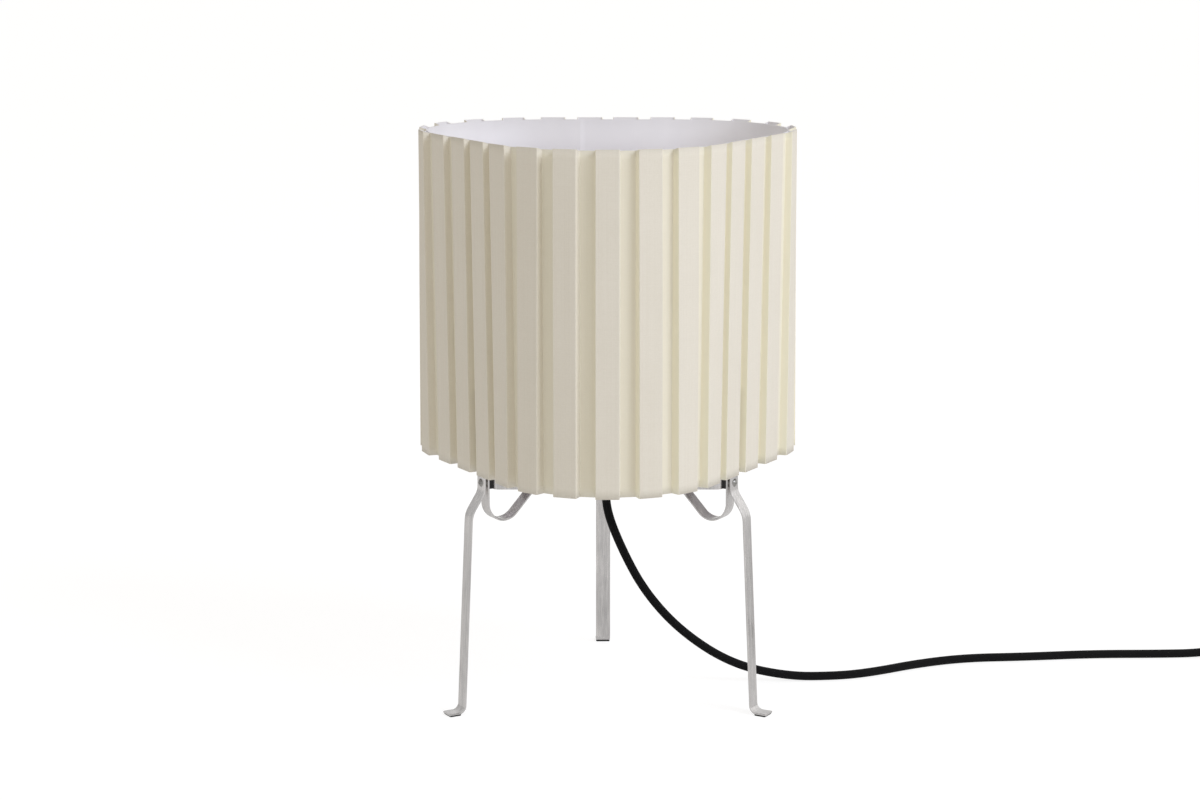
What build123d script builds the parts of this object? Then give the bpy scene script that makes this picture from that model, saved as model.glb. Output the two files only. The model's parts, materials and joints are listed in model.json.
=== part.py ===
"""A table lamp with a box-pleated fabric shade on three bent flat-steel legs.

The lamp stands on the plane Z = 0, +Z is up, and one rounded corner of the shade
points along -Y. The legs stand under the middles of the shade's three sides.
Everything is modelled about the lamp's own upright axis and then moved along Y, so
that the origin is the centre of the bottom of the lamp's box. Lengths are in mm.
"""

import math
import os

from build123d import *

# Plan: a triangle with straight sides and round corners, one of them to the front
SIDES = 3
FRONT = -90.0
LEG_AZIMUTHS = {"left": 210.0, "right": -30.0, "back": 91.8}

# Shade
SHADE_BOTTOM = 168.5
SHADE_TOP = 394.5
CORNER_R_HEM = 72.5
CORNER_R_RIM = 83.0
PLEATS_PER_SIDE = 9
PLEAT_PITCH = 28.8
PLEAT_FACE = 16.2
PLEAT_DEPTH = 7.5
PLEAT_FLARE = 1.8
FABRIC_T = 0.8
LINER_T = 0.5
GLUE_T = 0.4
CHANNEL_CLEAR = 0.03
HEM_RING_T = 0.8
HEM_RING_H = 6.0
HEM_RING_UP = 0.5
HEM_RING_GAP = 0.15

# Flat bar of the legs and the arms
BAR_W = 10.5
BAR_T = 1.3
BAR_EDGE = 0.3

# Legs: the upright stands inside the hem, and the rest is measured out from the upright
LEG_TOP = 225.5
LEG_INSET = 4.6
SHOULDER_Z = 153.0
KNEE_OUT = 9.8
KNEE_Z = 138.3
HEEL_OUT = 16.2
TOE_OUT = 27.9
SHOULDER_BEND_R = 11.0
KNEE_BEND_R = 16.0
FOOT_BEND_R = 5.0
PAD_T = 0.8
PAD_W = 9.6
PAD_LENGTH = 6.4
PAD_TOE_IN = 0.3

# Shade sockets, which hang the shade on the tips of the legs
SOCKET_W = 16.0
SOCKET_DROP = 14.0
SOCKET_ROOF = 2.5
SOCKET_WALL = 2.6
SOCKET_GAP = 0.2
SOCKET_SEAT = 0.1
SOCKET_ROUND = 1.0

# Bolted joint: leg, washer, arm, spacer and ring, from outside to inside
JOINT_Z = 159.2
WASHER_T = 1.6
WASHER_R = 3.4
SPACER_T = 2.4
SPACER_W = 9.0
SPACER_H = 8.0
RING_T = 1.4
RING_H = 8.0
RING_LAND = 16.0
RING_BEND_R = 5.0
SCREW_R = 1.5
SCREW_GAP = 0.1
SCREW_HEAD_R = 2.8
SCREW_HEAD_H = 1.5
SCREW_SLOT_W = 0.7
SCREW_SLOT_DEPTH = 0.6
SCREW_PROUD = 1.0
NUT_AF = 5.5
NUT_H = 2.4

# Arms: a J under the joint, then a straight rise to the hub
ARM_TOP = 166.0
ARM_SLOPE = 46.0
ARM_BEND_R = 12.2
TAB_BEND_R = 6.0
TAB_R = 19.4
TAB_END_GAP = 1.3
TAB_SCREW_IN = 4.2

# Hub
HUB_Z = 194.5
HUB_T = 2.5
HUB_LOBE_R = 8.0
HUB_SCREW_HEAD_R = 3.4
HUB_SCREW_HEAD_H = 2.2
NIPPLE_R = 4.95
NIPPLE_BORE_R = 3.6
NIPPLE_GAP = 0.1
NIPPLE_UP = 8.5
NIPPLE_DOWN = 8.8
HUB_NUT_AF = 14.0
HUB_NUT_H = 3.5
HUB_NUT_GAP = 0.1

# Cord grip under the hub
GRIP_R = 7.5
GRIP_TIP_WALL = 1.3
GRIP_COLLAR_H = 10.4
GRIP_CONE_H = 8.0
GRIP_THREAD_H = 5.4

# Lampholder for an E27 lamp
HOLDER_AIR = 3.3
HOLDER_WALL = 1.9
CAP_BASE_R = 13.0
CAP_H = 17.5
CAP_ROUND_H = 9.5
CAP_FLOOR_T = 3.8
CAP_FLOOR_R = 11.0
BODY_H = 36.0
BODY_LIP = 0.8
BODY_LIP_H = 6.0
INSULATOR_H = 8.0
INSULATOR_IN_CAP = 3.0
SHELL_R = 13.7
SHELL_T = 0.6
SHELL_H = 24.0
CONTACT_R = 3.0
CONTACT_H = 5.6
FIT_GAP = 0.2

# Bulb
BULB_CAP_GAP = 0.6
BULB_CAP_H = 24.0
BULB_CAP_BEVEL = 2.6
BULB_COLLAR_OUT = 0.9
BULB_COLLAR_H = 2.0
BULB_BUTTON_R = 4.5
BULB_BUTTON_H = 2.0
BULB_R = 30.0
BULB_CENTRE_UP = 47.0
BULB_BELLY_ANGLE = 40.0
BULB_NECK_OUT = 0.5
BULB_NECK_H = 3.5
BULB_WALL = 1.0

# Cord
CORD_D = 6.0
CORD_ARC_SHARE = 0.45

# In-line switch, lying along X
SWITCH_L = 56.0
SWITCH_W = 22.0
SWITCH_H = 14.0
SWITCH_CORNER_R = 6.0
SWITCH_EDGE = 1.2
RELIEF_L = 8.0
RELIEF_TIP_WALL = 0.6
RELIEF_TAPER = 1.0
ROCKER_L = 17.0
ROCKER_W = 9.0
ROCKER_GAP = 0.4
ROCKER_PIN_R = 1.0
ROCKER_PIN_GAP = 0.05
ROCKER_PIN_Z = 10.5
ROCKER_TILT = 7.0
ROCKER_DEPTH = 4.0
ROCKER_PROUD = 1.6
ROCKER_PIT = 6.0
CASE_SCREW_R = 1.5
CASE_SCREW_HEAD_R = 2.6
CASE_SCREW_HEAD_H = 1.6
CASE_SCREW_L = 7.0
CASE_SCREW_X = 20.0
CASE_SCREW_SINK = 0.4
CASE_SCREW_SPARE = 1.0
ROCKER_PIN_SEAT = 0.8
ROCKER_PIN_SPARE = 0.4

# Coil of the length that is put away
COIL_TURNS_PER_LAYER = 3
COIL_OUTER_R = 43.0
COIL_TURN_GAP = 0.7
COIL_LAYER_GAP = 0.6
COIL_STEPS_PER_TURN = 4
LEAD_L = 32.0
TAIL_L = 36.0
DROP_FROM = 0.28
DROP_TO = 0.7
COIL_CLIMB_TURNS = 0.5

# Two-pin flat plug, lying with its pins along -X
PLUG_L = 34.0
PLUG_W = 26.0
PLUG_WAIST_W = 20.0
PLUG_TAIL_W = 13.0
PLUG_H = 13.7
PLUG_EDGE = 1.6
PLUG_SHOULDER_L = 10.0
PLUG_WAIST_L = 20.0
PLUG_RELIEF_L = 16.0
PIN_R = 2.0
PIN_STEM_R = 1.5
PIN_TIP_ROUND = 1.2
PIN_L = 19.0
PIN_SLEEVE_L = 10.0
PIN_SPACING = 18.6

# Values that follow from those above
PLAN_LENGTH = SIDES * PLEATS_PER_SIDE * PLEAT_PITCH
CORNER_SWEEP = 360.0 / SIDES


def half_side(corner_r):
    """Half of a straight side, so that the plan keeps its length round the shade."""
    return (PLAN_LENGTH - 2 * math.pi * corner_r) / (2 * SIDES)


def corner_centre(corner_r):
    """Distance from the axis to the centre of a corner's arc."""
    return half_side(corner_r) / math.sin(math.radians(CORNER_SWEEP / 2))


def side_reach(corner_r):
    """Distance from the axis to a straight side of the plan."""
    return corner_r + corner_centre(corner_r) * math.cos(math.radians(CORNER_SWEEP / 2))


LEG_UP_R = side_reach(CORNER_R_HEM) - LEG_INSET
LEG_OUT_R = LEG_UP_R + BAR_T / 2
KNEE_R = LEG_UP_R + KNEE_OUT
HEEL_R = LEG_UP_R + HEEL_OUT
TOE_R = LEG_UP_R + TOE_OUT
FOOT_Z = PAD_T + BAR_T / 2
ARM_UP_R = LEG_UP_R - BAR_T - WASHER_T
SPACER_OUT_R = ARM_UP_R - BAR_T / 2
RING_OUT_R = SPACER_OUT_R - SPACER_T
TAB_END_R = HUB_NUT_AF / 2 / math.cos(math.radians(30)) + TAB_END_GAP
TAB_SCREW_R = TAB_END_R + TAB_SCREW_IN
PLATE_TOP = HUB_Z + HUB_T
HOLDER_R = SHELL_R + SHELL_T + HOLDER_AIR + HOLDER_WALL
CAP_TOP = PLATE_TOP + CAP_H
INSULATOR_TOP = CAP_TOP - INSULATOR_IN_CAP + INSULATOR_H
CONTACT_TOP = INSULATOR_TOP + CONTACT_H
BULB_BOTTOM = CONTACT_TOP + FIT_GAP
BULB_CAP_R = SHELL_R - BULB_CAP_GAP
GRIP_TOP = HUB_Z - HUB_NUT_H - HUB_NUT_GAP
GRIP_BOTTOM = GRIP_TOP - GRIP_COLLAR_H - GRIP_CONE_H
CORD_FLOOR = CORD_D / 2
SWITCH_SPLIT = SWITCH_H / 2
RELIEF_TIP_R = CORD_D / 2 + RELIEF_TIP_WALL
RELIEF_R = RELIEF_TIP_R + RELIEF_TAPER

# The cord's way from the grip to the switch: x, y from the lamp's axis, height
CORD_ROUTE = [
    (0.0, 0.0, GRIP_BOTTOM),
    (0.0, 0.0, 152.5),
    (-2.0, 1.0, 131.5),
    (9.0, 3.0, 101.5),
    (26.0, 5.0, 68.5),
    (52.0, 8.5, 38.5),
    (88.0, 13.5, 13.5),
    (128.0, 18.6, CORD_FLOOR),
    (163.0, 19.6, CORD_FLOOR),
    (188.0, 28.0, CORD_FLOOR),
    (226.0, 51.0, CORD_FLOOR),
    (262.0, 64.5, CORD_FLOOR),
    (305.0, 67.5, CORD_FLOOR),
    (355.0, 74.5, CORD_FLOOR),
    (405.0, 75.0, CORD_FLOOR),
    (436.0, 77.3, CORD_FLOOR),
    (452.0, 77.0, SWITCH_SPLIT),
    (462.0, 77.0, SWITCH_SPLIT),
]

SWITCH_X = CORD_ROUTE[-1][0] + RELIEF_L + SWITCH_L / 2
SWITCH_Y = CORD_ROUTE[-1][1]
COIL_END = CORD_D
COIL_PITCH = CORD_D + COIL_TURN_GAP
COIL_LAYER_H = CORD_D + COIL_LAYER_GAP
COIL_X = SWITCH_X + SWITCH_L / 2 + RELIEF_L + LEAD_L + COIL_END
COIL_Y = SWITCH_Y + COIL_OUTER_R
COIL_TOP_Z = CORD_FLOOR + COIL_LAYER_H
PLUG_BACK_X = COIL_X - COIL_END - TAIL_L - PLUG_RELIEF_L
PLUG_Y = COIL_Y + COIL_OUTER_R
PLUG_Z = PLUG_H / 2


def direction(azimuth):
    return Vector(math.cos(math.radians(azimuth)), math.sin(math.radians(azimuth)))


def plan_point(corner_r, run, out=0.0):
    """The point at a run along the plan from its front corner, moved outwards, and its normal."""
    third = PLAN_LENGTH / SIDES
    corner = round(run / third)
    along = run - corner * third
    azimuth = FRONT + corner * CORNER_SWEEP
    arc = corner_r * math.radians(CORNER_SWEEP / 2)
    turned = max(-arc, min(arc, along))
    normal = azimuth + math.degrees(turned / corner_r)
    centre = direction(azimuth) * corner_centre(corner_r)
    straight = direction(normal + 90) * (along - turned)
    return centre + direction(normal) * (corner_r + out) + straight, normal


def plan_face(corner_r, out, z):
    """The plan as a face of arcs and lines, moved outwards by out, at height z."""
    centre_r = corner_centre(corner_r)
    radius = corner_r + out
    lines = []
    for corner in range(SIDES):
        azimuth = FRONT + corner * CORNER_SWEEP
        start = azimuth - CORNER_SWEEP / 2
        centre = direction(azimuth) * centre_r
        arc = CenterArc((centre.X, centre.Y), radius, start, CORNER_SWEEP)
        after = direction(azimuth + CORNER_SWEEP) * centre_r
        across = direction(start + CORNER_SWEEP) * radius
        lines += [arc, Line(centre + across, after + across)]
    return Pos(0, 0, z) * make_face([edge for line in lines for edge in line.edges()])


def channel_gap():
    """The glue's thickness, or more where a flat channel would cut into a round corner."""
    half_chord = (PLEAT_PITCH - PLEAT_FACE) / 2 - PLEAT_FLARE + FABRIC_T
    sagitta = CORNER_R_HEM - math.sqrt(CORNER_R_HEM**2 - half_chord**2)
    swing = math.radians(CORNER_SWEEP / 2) * (1 - CORNER_R_HEM / CORNER_R_RIM)
    dip = (CORNER_R_HEM + CORNER_R_RIM) / 2 * (1 - math.cos(swing / 2))
    return max(GLUE_T, sagitta + dip + CHANNEL_CLEAR)


def pleat_face(corner_r, z, inside):
    """The folded sheet's outer outline, or its inner one, as a face at height z."""
    glue = channel_gap()
    channel = glue + FABRIC_T
    lean = PLEAT_FLARE / (PLEAT_DEPTH - channel)
    skew_t = FABRIC_T * math.hypot(1, lean)
    low, high = (glue, PLEAT_DEPTH - FABRIC_T) if inside else (channel, PLEAT_DEPTH)
    inset = skew_t if inside else 0.0
    foot_half = PLEAT_FACE / 2 + lean * (PLEAT_DEPTH - low) - inset
    face_half = PLEAT_FACE / 2 + lean * (PLEAT_DEPTH - high) - inset
    points = []
    for pleat in range(SIDES * PLEATS_PER_SIDE):
        run = pleat * PLEAT_PITCH
        middle, normal = plan_point(corner_r, run, high)
        across = direction(normal + 90) * face_half
        points.append(plan_point(corner_r, run - foot_half, low)[0])
        points += [middle - across, middle + across]
        points.append(plan_point(corner_r, run + foot_half, low)[0])
    return Pos(0, 0, z) * make_face(Polyline(*points, close=True))


def shade_loft(hem, rim):
    return loft([hem, rim], ruled=True)


def pleated_cover():
    """The box-pleated sheet: a ruled loft between two plans with the same pleats."""
    outer, inner = (
        shade_loft(
            pleat_face(CORNER_R_HEM, SHADE_BOTTOM, inside),
            pleat_face(CORNER_R_RIM, SHADE_TOP, inside),
        )
        for inside in (False, True)
    )
    return outer - inner


def lining(out):
    """The solid inside the plan, moved outwards by out, from the hem to the rim."""
    return shade_loft(
        plan_face(CORNER_R_HEM, out, SHADE_BOTTOM),
        plan_face(CORNER_R_RIM, out, SHADE_TOP),
    )


def shade_liner():
    return lining(0.0) - lining(-LINER_T)


def hem_ring():
    """A flat band that keeps the hem's shape, just inside the liner."""
    out = -LINER_T - HEM_RING_GAP
    z = SHADE_BOTTOM + HEM_RING_UP
    band = plan_face(CORNER_R_HEM, out, z) - plan_face(CORNER_R_HEM, out - HEM_RING_T, z)
    return extrude(band, HEM_RING_H, dir=(0, 0, 1))


def turned(shape, azimuth):
    return Rot(0, 0, azimuth) * shape


def on_legs(shape):
    """One copy of a shape on +X at each leg, as separate solids of one node."""
    return Compound([turned(shape, azimuth).solid() for azimuth in LEG_AZIMUTHS.values()])


def cross_hole(radius, inner, outer, z):
    """A hole's cylinder along X, from one radius to another."""
    middle = (inner + outer) / 2
    return Pos(middle, 0, z) * Rot(0, 90, 0) * Cylinder(radius, outer - inner)


def shade_sockets():
    """Blocks bonded inside the liner, with a blind slot for each leg's tip."""
    inner = LEG_UP_R - BAR_T / 2 - SOCKET_GAP - SOCKET_WALL
    outer = side_reach(CORNER_R_RIM)
    height = SOCKET_DROP + SOCKET_ROOF
    top = LEG_TOP + SOCKET_ROOF
    block = Pos((inner + outer) / 2, 0, top - height / 2) * Box(outer - inner, SOCKET_W, height)
    block = fillet(block.edges().filter_by(Axis.X), SOCKET_ROUND)
    slot_h = SOCKET_DROP + SOCKET_GAP
    slot = Pos(LEG_UP_R, 0, LEG_TOP + SOCKET_GAP - slot_h / 2) * Box(
        BAR_T + 2 * SOCKET_GAP, BAR_W + 2 * SOCKET_GAP, slot_h
    )
    room = lining(-LINER_T - SOCKET_SEAT)
    block = block - slot
    return Compound(
        [(turned(block, azimuth) & room).solid() for azimuth in LEG_AZIMUTHS.values()]
    )


def bar(points, radii):
    """Flat bar bent along a middle line of (radius, height) points on +X."""
    path = FilletPolyline(*[(r, 0, z) for r, z in points], radius=radii)
    section = chamfer(Rectangle(BAR_W, BAR_T).vertices(), BAR_EDGE)
    start = Plane(origin=path @ 0, x_dir=(0, 1, 0), z_dir=path % 0)
    return sweep(start * section, path=path)


def leg():
    shape = bar(
        [
            (LEG_UP_R, LEG_TOP),
            (LEG_UP_R, SHOULDER_Z),
            (KNEE_R, KNEE_Z),
            (HEEL_R, FOOT_Z),
            (TOE_R, FOOT_Z),
        ],
        [SHOULDER_BEND_R, KNEE_BEND_R, FOOT_BEND_R],
    )
    return shape - joint_hole()


def joint_hole():
    return cross_hole(SCREW_R + SCREW_GAP, RING_OUT_R - 3 * BAR_T, LEG_OUT_R + BAR_T, JOINT_Z)


def foot_pad():
    """A rubber pad under the flat end of the foot."""
    outer = TOE_R - PAD_TOE_IN
    pad = Pos(outer - PAD_LENGTH / 2, 0, PAD_T / 2) * Box(PAD_LENGTH, PAD_W, PAD_T)
    return fillet(pad.edges().filter_by(Axis.Z), PAD_T)


def arm():
    """The J beside the leg, its rise to the hub, and the tab under the hub plate."""
    tab_z = HUB_Z - BAR_T / 2
    turn_z = tab_z - (ARM_UP_R - TAB_R) * math.tan(math.radians(ARM_SLOPE))
    shape = bar(
        [(ARM_UP_R, ARM_TOP), (ARM_UP_R, turn_z), (TAB_R, tab_z), (TAB_END_R, tab_z)],
        [ARM_BEND_R, TAB_BEND_R],
    )
    tab_hole = Pos(TAB_SCREW_R, 0, tab_z) * Cylinder(SCREW_R + SCREW_GAP, 2 * BAR_T)
    return shape - joint_hole() - tab_hole


def lower_ring():
    """A strip bent to a triangle round the three joints, with a flat land at each."""
    corners = []
    for azimuth in sorted(LEG_AZIMUTHS.values()):
        land = direction(azimuth) * RING_OUT_R
        across = direction(azimuth + 90) * (RING_LAND / 2)
        corners += [land - across, land + across]
    outer = make_face(Polyline(*corners, close=True))
    outer = fillet(outer.vertices(), RING_BEND_R)
    band = outer - offset(outer, -RING_T)
    ring = extrude(Pos(0, 0, JOINT_Z - RING_H / 2) * band, RING_H, dir=(0, 0, 1))
    for azimuth in LEG_AZIMUTHS.values():
        ring -= turned(joint_hole(), azimuth)
    return ring


def leg_washer():
    inner = ARM_UP_R + BAR_T / 2
    return cross_hole(WASHER_R, inner, inner + WASHER_T, JOINT_Z) - joint_hole()


def ring_spacer():
    middle = SPACER_OUT_R - SPACER_T / 2
    block = Pos(middle, 0, JOINT_Z) * Box(SPACER_T, SPACER_W, SPACER_H)
    return block - joint_hole()


def joint_screw():
    """A slotted round-head screw through the joint, with its axis along X."""
    tip = RING_OUT_R - RING_T - NUT_H - SCREW_PROUD
    edge, crown = (0, SCREW_HEAD_R), (SCREW_HEAD_H, 0)
    lines = [
        Line((0, 0), edge),
        TangentArc(crown, edge, tangent=(0, 1)),
        Line(crown, (0, 0)),
    ]
    half = make_face([part for line in lines for part in line.edges()])
    head = Pos(LEG_OUT_R, 0, JOINT_Z) * revolve(half, Axis.X)
    slot = Pos(LEG_OUT_R + SCREW_HEAD_H, 0, JOINT_Z) * Box(
        2 * SCREW_SLOT_DEPTH, 4 * SCREW_HEAD_R, SCREW_SLOT_W
    )
    return head + cross_hole(SCREW_R, tip, LEG_OUT_R, JOINT_Z) - slot


def joint_nut():
    outer = RING_OUT_R - RING_T
    hexagon = RegularPolygon(NUT_AF / 2, 6, major_radius=False)
    nut = extrude(Plane.YZ.offset(outer - NUT_H) * hexagon, NUT_H)
    return Pos(0, 0, JOINT_Z) * nut - joint_hole()


def hub_plate():
    """A three-lobed plate over the arms' tabs."""
    lobes = [Pos(*(direction(a) * TAB_SCREW_R)) * Circle(HUB_LOBE_R) for a in LEG_AZIMUTHS.values()]
    outline = make_hull([edge for lobe in lobes for edge in lobe.edges()])
    plate = extrude(Pos(0, 0, HUB_Z) * outline, HUB_T, dir=(0, 0, 1))
    plate -= Pos(0, 0, HUB_Z) * Cylinder(NIPPLE_R + NIPPLE_GAP, 4 * HUB_T)
    for azimuth in LEG_AZIMUTHS.values():
        hole = Pos(TAB_SCREW_R, 0, HUB_Z) * Cylinder(SCREW_R + SCREW_GAP, 4 * HUB_T)
        plate -= turned(hole, azimuth)
    return plate


def hub_screw():
    """A pan-head screw from below, through the tab and the plate."""
    under = HUB_Z - BAR_T
    head = Pos(TAB_SCREW_R, 0, under - HUB_SCREW_HEAD_H / 2) * Cylinder(
        HUB_SCREW_HEAD_R, HUB_SCREW_HEAD_H
    )
    head = fillet(head.edges().group_by(Axis.Z)[0], HUB_SCREW_HEAD_H / 3)
    shank_h = BAR_T + HUB_T
    return head + Pos(TAB_SCREW_R, 0, under + shank_h / 2) * Cylinder(SCREW_R, shank_h)


def tube(radius, bore, bottom, top):
    middle = Pos(0, 0, (bottom + top) / 2)
    return middle * (Cylinder(radius, top - bottom) - Cylinder(bore, top - bottom))


def nipple():
    return tube(NIPPLE_R, NIPPLE_BORE_R, HUB_Z - NIPPLE_DOWN, PLATE_TOP + NIPPLE_UP)


def hub_nut():
    hexagon = RegularPolygon(HUB_NUT_AF / 2, 6, major_radius=False)
    hexagon -= Circle(NIPPLE_R + NIPPLE_GAP)
    return extrude(Pos(0, 0, HUB_Z - HUB_NUT_H) * hexagon, HUB_NUT_H, dir=(0, 0, 1))


def spun(points):
    """A solid turned about Z from a closed outline of (radius, height) points."""
    outline = make_face(Polyline(*[(r, 0, z) for r, z in points], close=True))
    return revolve(outline, Axis.Z)


def cord_grip():
    bore = NIPPLE_R + NIPPLE_GAP
    return spun(
        [
            (0, GRIP_BOTTOM),
            (CORD_D / 2 + GRIP_TIP_WALL, GRIP_BOTTOM),
            (GRIP_R, GRIP_BOTTOM + GRIP_CONE_H),
            (GRIP_R, GRIP_TOP),
            (bore, GRIP_TOP),
            (bore, GRIP_TOP - GRIP_THREAD_H),
            (0, GRIP_TOP - GRIP_THREAD_H),
        ]
    )


def holder_cap():
    """A turned cap with a rounded shoulder, open towards the insulator."""
    bore = NIPPLE_R + NIPPLE_GAP
    inner = HOLDER_R - HOLDER_WALL
    shoulder, floor = PLATE_TOP + CAP_ROUND_H, PLATE_TOP + CAP_FLOOR_T
    base, hollow = (CAP_BASE_R, 0, PLATE_TOP), (CAP_FLOOR_R, 0, floor)
    outside, inside = (HOLDER_R, 0, shoulder), (inner, 0, shoulder)
    lines = [
        Polyline(hollow, (bore, 0, floor), (bore, 0, PLATE_TOP), base),
        TangentArc(outside, base, tangent=(0, 0, -1)),
        Polyline(outside, (HOLDER_R, 0, CAP_TOP), (inner, 0, CAP_TOP), inside),
        TangentArc(inside, hollow, tangent=(0, 0, -1)),
    ]
    return revolve(make_face([edge for line in lines for edge in line.edges()]), Axis.Z)


def holder_insulator():
    radius = HOLDER_R - HOLDER_WALL - FIT_GAP
    bottom = CAP_TOP - INSULATOR_IN_CAP
    return Pos(0, 0, (bottom + INSULATOR_TOP) / 2) * Cylinder(radius, INSULATOR_H)


def holder_body():
    """The outer shell: wide round the insulator and thick round the screw shell."""
    inner = HOLDER_R - HOLDER_WALL
    mouth = SHELL_R + SHELL_T + FIT_GAP
    top = CAP_TOP + BODY_H
    return spun(
        [
            (inner, CAP_TOP),
            (HOLDER_R, CAP_TOP),
            (HOLDER_R, top - BODY_LIP_H),
            (HOLDER_R - BODY_LIP, top),
            (mouth, top),
            (mouth, INSULATOR_TOP + FIT_GAP),
            (inner, INSULATOR_TOP + FIT_GAP),
        ]
    )


def holder_screw_shell():
    return tube(SHELL_R + SHELL_T, SHELL_R, INSULATOR_TOP, INSULATOR_TOP + SHELL_H)


def holder_contact():
    """The sprung centre contact on the insulator."""
    post = Pos(0, 0, INSULATOR_TOP + CONTACT_H / 2) * Cylinder(CONTACT_R, CONTACT_H)
    leaf_t = SHELL_T
    leaf = Pos(CONTACT_R, 0, INSULATOR_TOP + leaf_t / 2) * Box(3 * CONTACT_R, 2 * CONTACT_R, leaf_t)
    return post + leaf


def bulb_button():
    return Pos(0, 0, BULB_BOTTOM + BULB_BUTTON_H / 2) * Cylinder(BULB_BUTTON_R, BULB_BUTTON_H)


def bulb_cap():
    bottom = BULB_BOTTOM + BULB_BUTTON_H
    top = bottom + BULB_CAP_H
    return spun(
        [
            (0, bottom),
            (BULB_CAP_R - BULB_CAP_BEVEL, bottom),
            (BULB_CAP_R, bottom + BULB_CAP_BEVEL),
            (BULB_CAP_R, top - BULB_COLLAR_H),
            (BULB_CAP_R + BULB_COLLAR_OUT, top),
            (0, top),
        ]
    )


def bulb_form(inset):
    """A round form that draws in to its neck, set in from the bulb's surface."""
    bottom = BULB_BOTTOM + BULB_BUTTON_H + BULB_CAP_H
    centre = bottom + BULB_CENTRE_UP
    radius, neck_r = BULB_R - inset, BULB_CAP_R + BULB_NECK_OUT - inset
    belly = math.radians(BULB_BELLY_ANGLE)
    across, up = math.cos(belly), math.sin(belly)
    leave = (radius * across, 0, centre - radius * up)
    crown = (radius * across, 0, centre + radius * up)
    neck, pole = (neck_r, 0, bottom + BULB_NECK_H), (0, 0, centre + radius)
    lines = [
        Polyline((0, 0, bottom), (neck_r, 0, bottom), neck),
        TangentArc(leave, neck, tangent=(-up, 0, -across)),
        ThreePointArc(leave, (radius, 0, centre), crown),
        TangentArc(crown, pole, tangent=(-up, 0, across)),
        Line(pole, (0, 0, bottom)),
    ]
    return revolve(make_face([edge for line in lines for edge in line.edges()]), Axis.Z)


def bulb_glass():
    return bulb_form(0) - bulb_form(BULB_WALL)


def route_radii(points):
    """As large an arc at each corner of a route as its two runs allow."""
    radii = []
    for before, corner, after in zip(points, points[1:], points[2:]):
        back, ahead = Vector(corner) - Vector(before), Vector(after) - Vector(corner)
        turn = math.radians(back.get_angle(ahead))
        shorter = min(back.length, ahead.length)
        radii.append(CORD_ARC_SHARE * shorter / math.tan(turn / 2))
    return radii


def cord_tube(name, points):
    """A round cord along straight runs joined by tangent arcs."""
    radii = route_radii(points)
    path = FilletPolyline(*points, radius=radii)
    section = Plane(origin=path @ 0, z_dir=path % 0) * Circle(CORD_D / 2)
    solid = sweep(section, path=path)
    expected = math.pi * CORD_D**2 / 4 * path.length
    print(f"{name}: length {path.length:.1f}, radii {min(radii):.0f} to {max(radii):.0f}")
    print(f"{name}: volume over section times length {solid.volume / expected:.4f}")
    return solid


def lead_route():
    """From the switch to the coil: down to the floor."""
    x = SWITCH_X + SWITCH_L / 2 + RELIEF_L
    return [
        (x, SWITCH_Y, SWITCH_SPLIT),
        (x + LEAD_L * DROP_FROM, SWITCH_Y, SWITCH_SPLIT),
        (x + LEAD_L * DROP_TO, SWITCH_Y, CORD_FLOOR),
        (x + LEAD_L, SWITCH_Y, CORD_FLOOR),
    ]


def tail_route():
    """From the coil to the plug: down from the upper layer."""
    x = COIL_X - COIL_END
    return [
        (x, PLUG_Y, COIL_TOP_Z),
        (x - TAIL_L * DROP_FROM, PLUG_Y, COIL_TOP_Z),
        (x - TAIL_L * DROP_TO, PLUG_Y, PLUG_Z),
        (x - TAIL_L, PLUG_Y, PLUG_Z),
    ]


def coil_point(turns):
    """The coil's middle line: in along the floor, a climb, and out again above."""
    back = COIL_TURNS_PER_LAYER + COIL_CLIMB_TURNS / 2
    radius = COIL_OUTER_R - COIL_PITCH * (back - abs(turns - back))
    climb = min(1.0, max(0.0, (turns - COIL_TURNS_PER_LAYER) / COIL_CLIMB_TURNS))
    height = CORD_FLOOR + COIL_LAYER_H * climb**2 * (3 - 2 * climb)
    angle = math.radians(FRONT) + 2 * math.pi * turns
    return Vector(COIL_X + radius * math.cos(angle), COIL_Y + radius * math.sin(angle), height)


def biarc(start, start_way, end, end_way):
    """Two arcs from start to end that meet smoothly and keep both end directions."""
    chord = end - start
    ways = start_way + end_way
    square = 2 * (1 - start_way.dot(end_way))
    across = chord.dot(ways)
    reach = (math.sqrt(across**2 + square * chord.dot(chord)) - across) / square
    first, last = start + start_way * reach, end - end_way * reach
    middle = (first + last) * 0.5
    way = (last - first).normalized()
    return [
        Edge.make_tangent_arc(start, start_way, middle),
        Edge.make_tangent_arc(middle, way, end),
    ]


def cord_coil():
    """Two layers of turns in one unbroken tube, with a short straight run at each end."""
    total = 2 * COIL_TURNS_PER_LAYER + COIL_CLIMB_TURNS
    steps = round(total * COIL_STEPS_PER_TURN)
    stops = [total * step / steps for step in range(steps + 1)]
    points = [coil_point(turns) for turns in stops]
    nudge = 0.01
    ways = [
        (coil_point(turns + nudge) - coil_point(turns - nudge)).normalized() for turns in stops
    ]
    ways[0], ways[-1] = Vector(1, 0, 0), Vector(-1, 0, 0)
    edges = [Line(points[0] - ways[0] * COIL_END, points[0]).edge()]
    for index in range(steps):
        edges += biarc(points[index], ways[index], points[index + 1], ways[index + 1])
    edges.append(Line(points[-1], points[-1] + ways[-1] * COIL_END).edge())
    path = Wire(edges)
    report_coil(edges)
    section = Plane(origin=path @ 0, z_dir=path % 0) * Circle(CORD_D / 2)
    return sweep(section, path=path)


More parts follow.
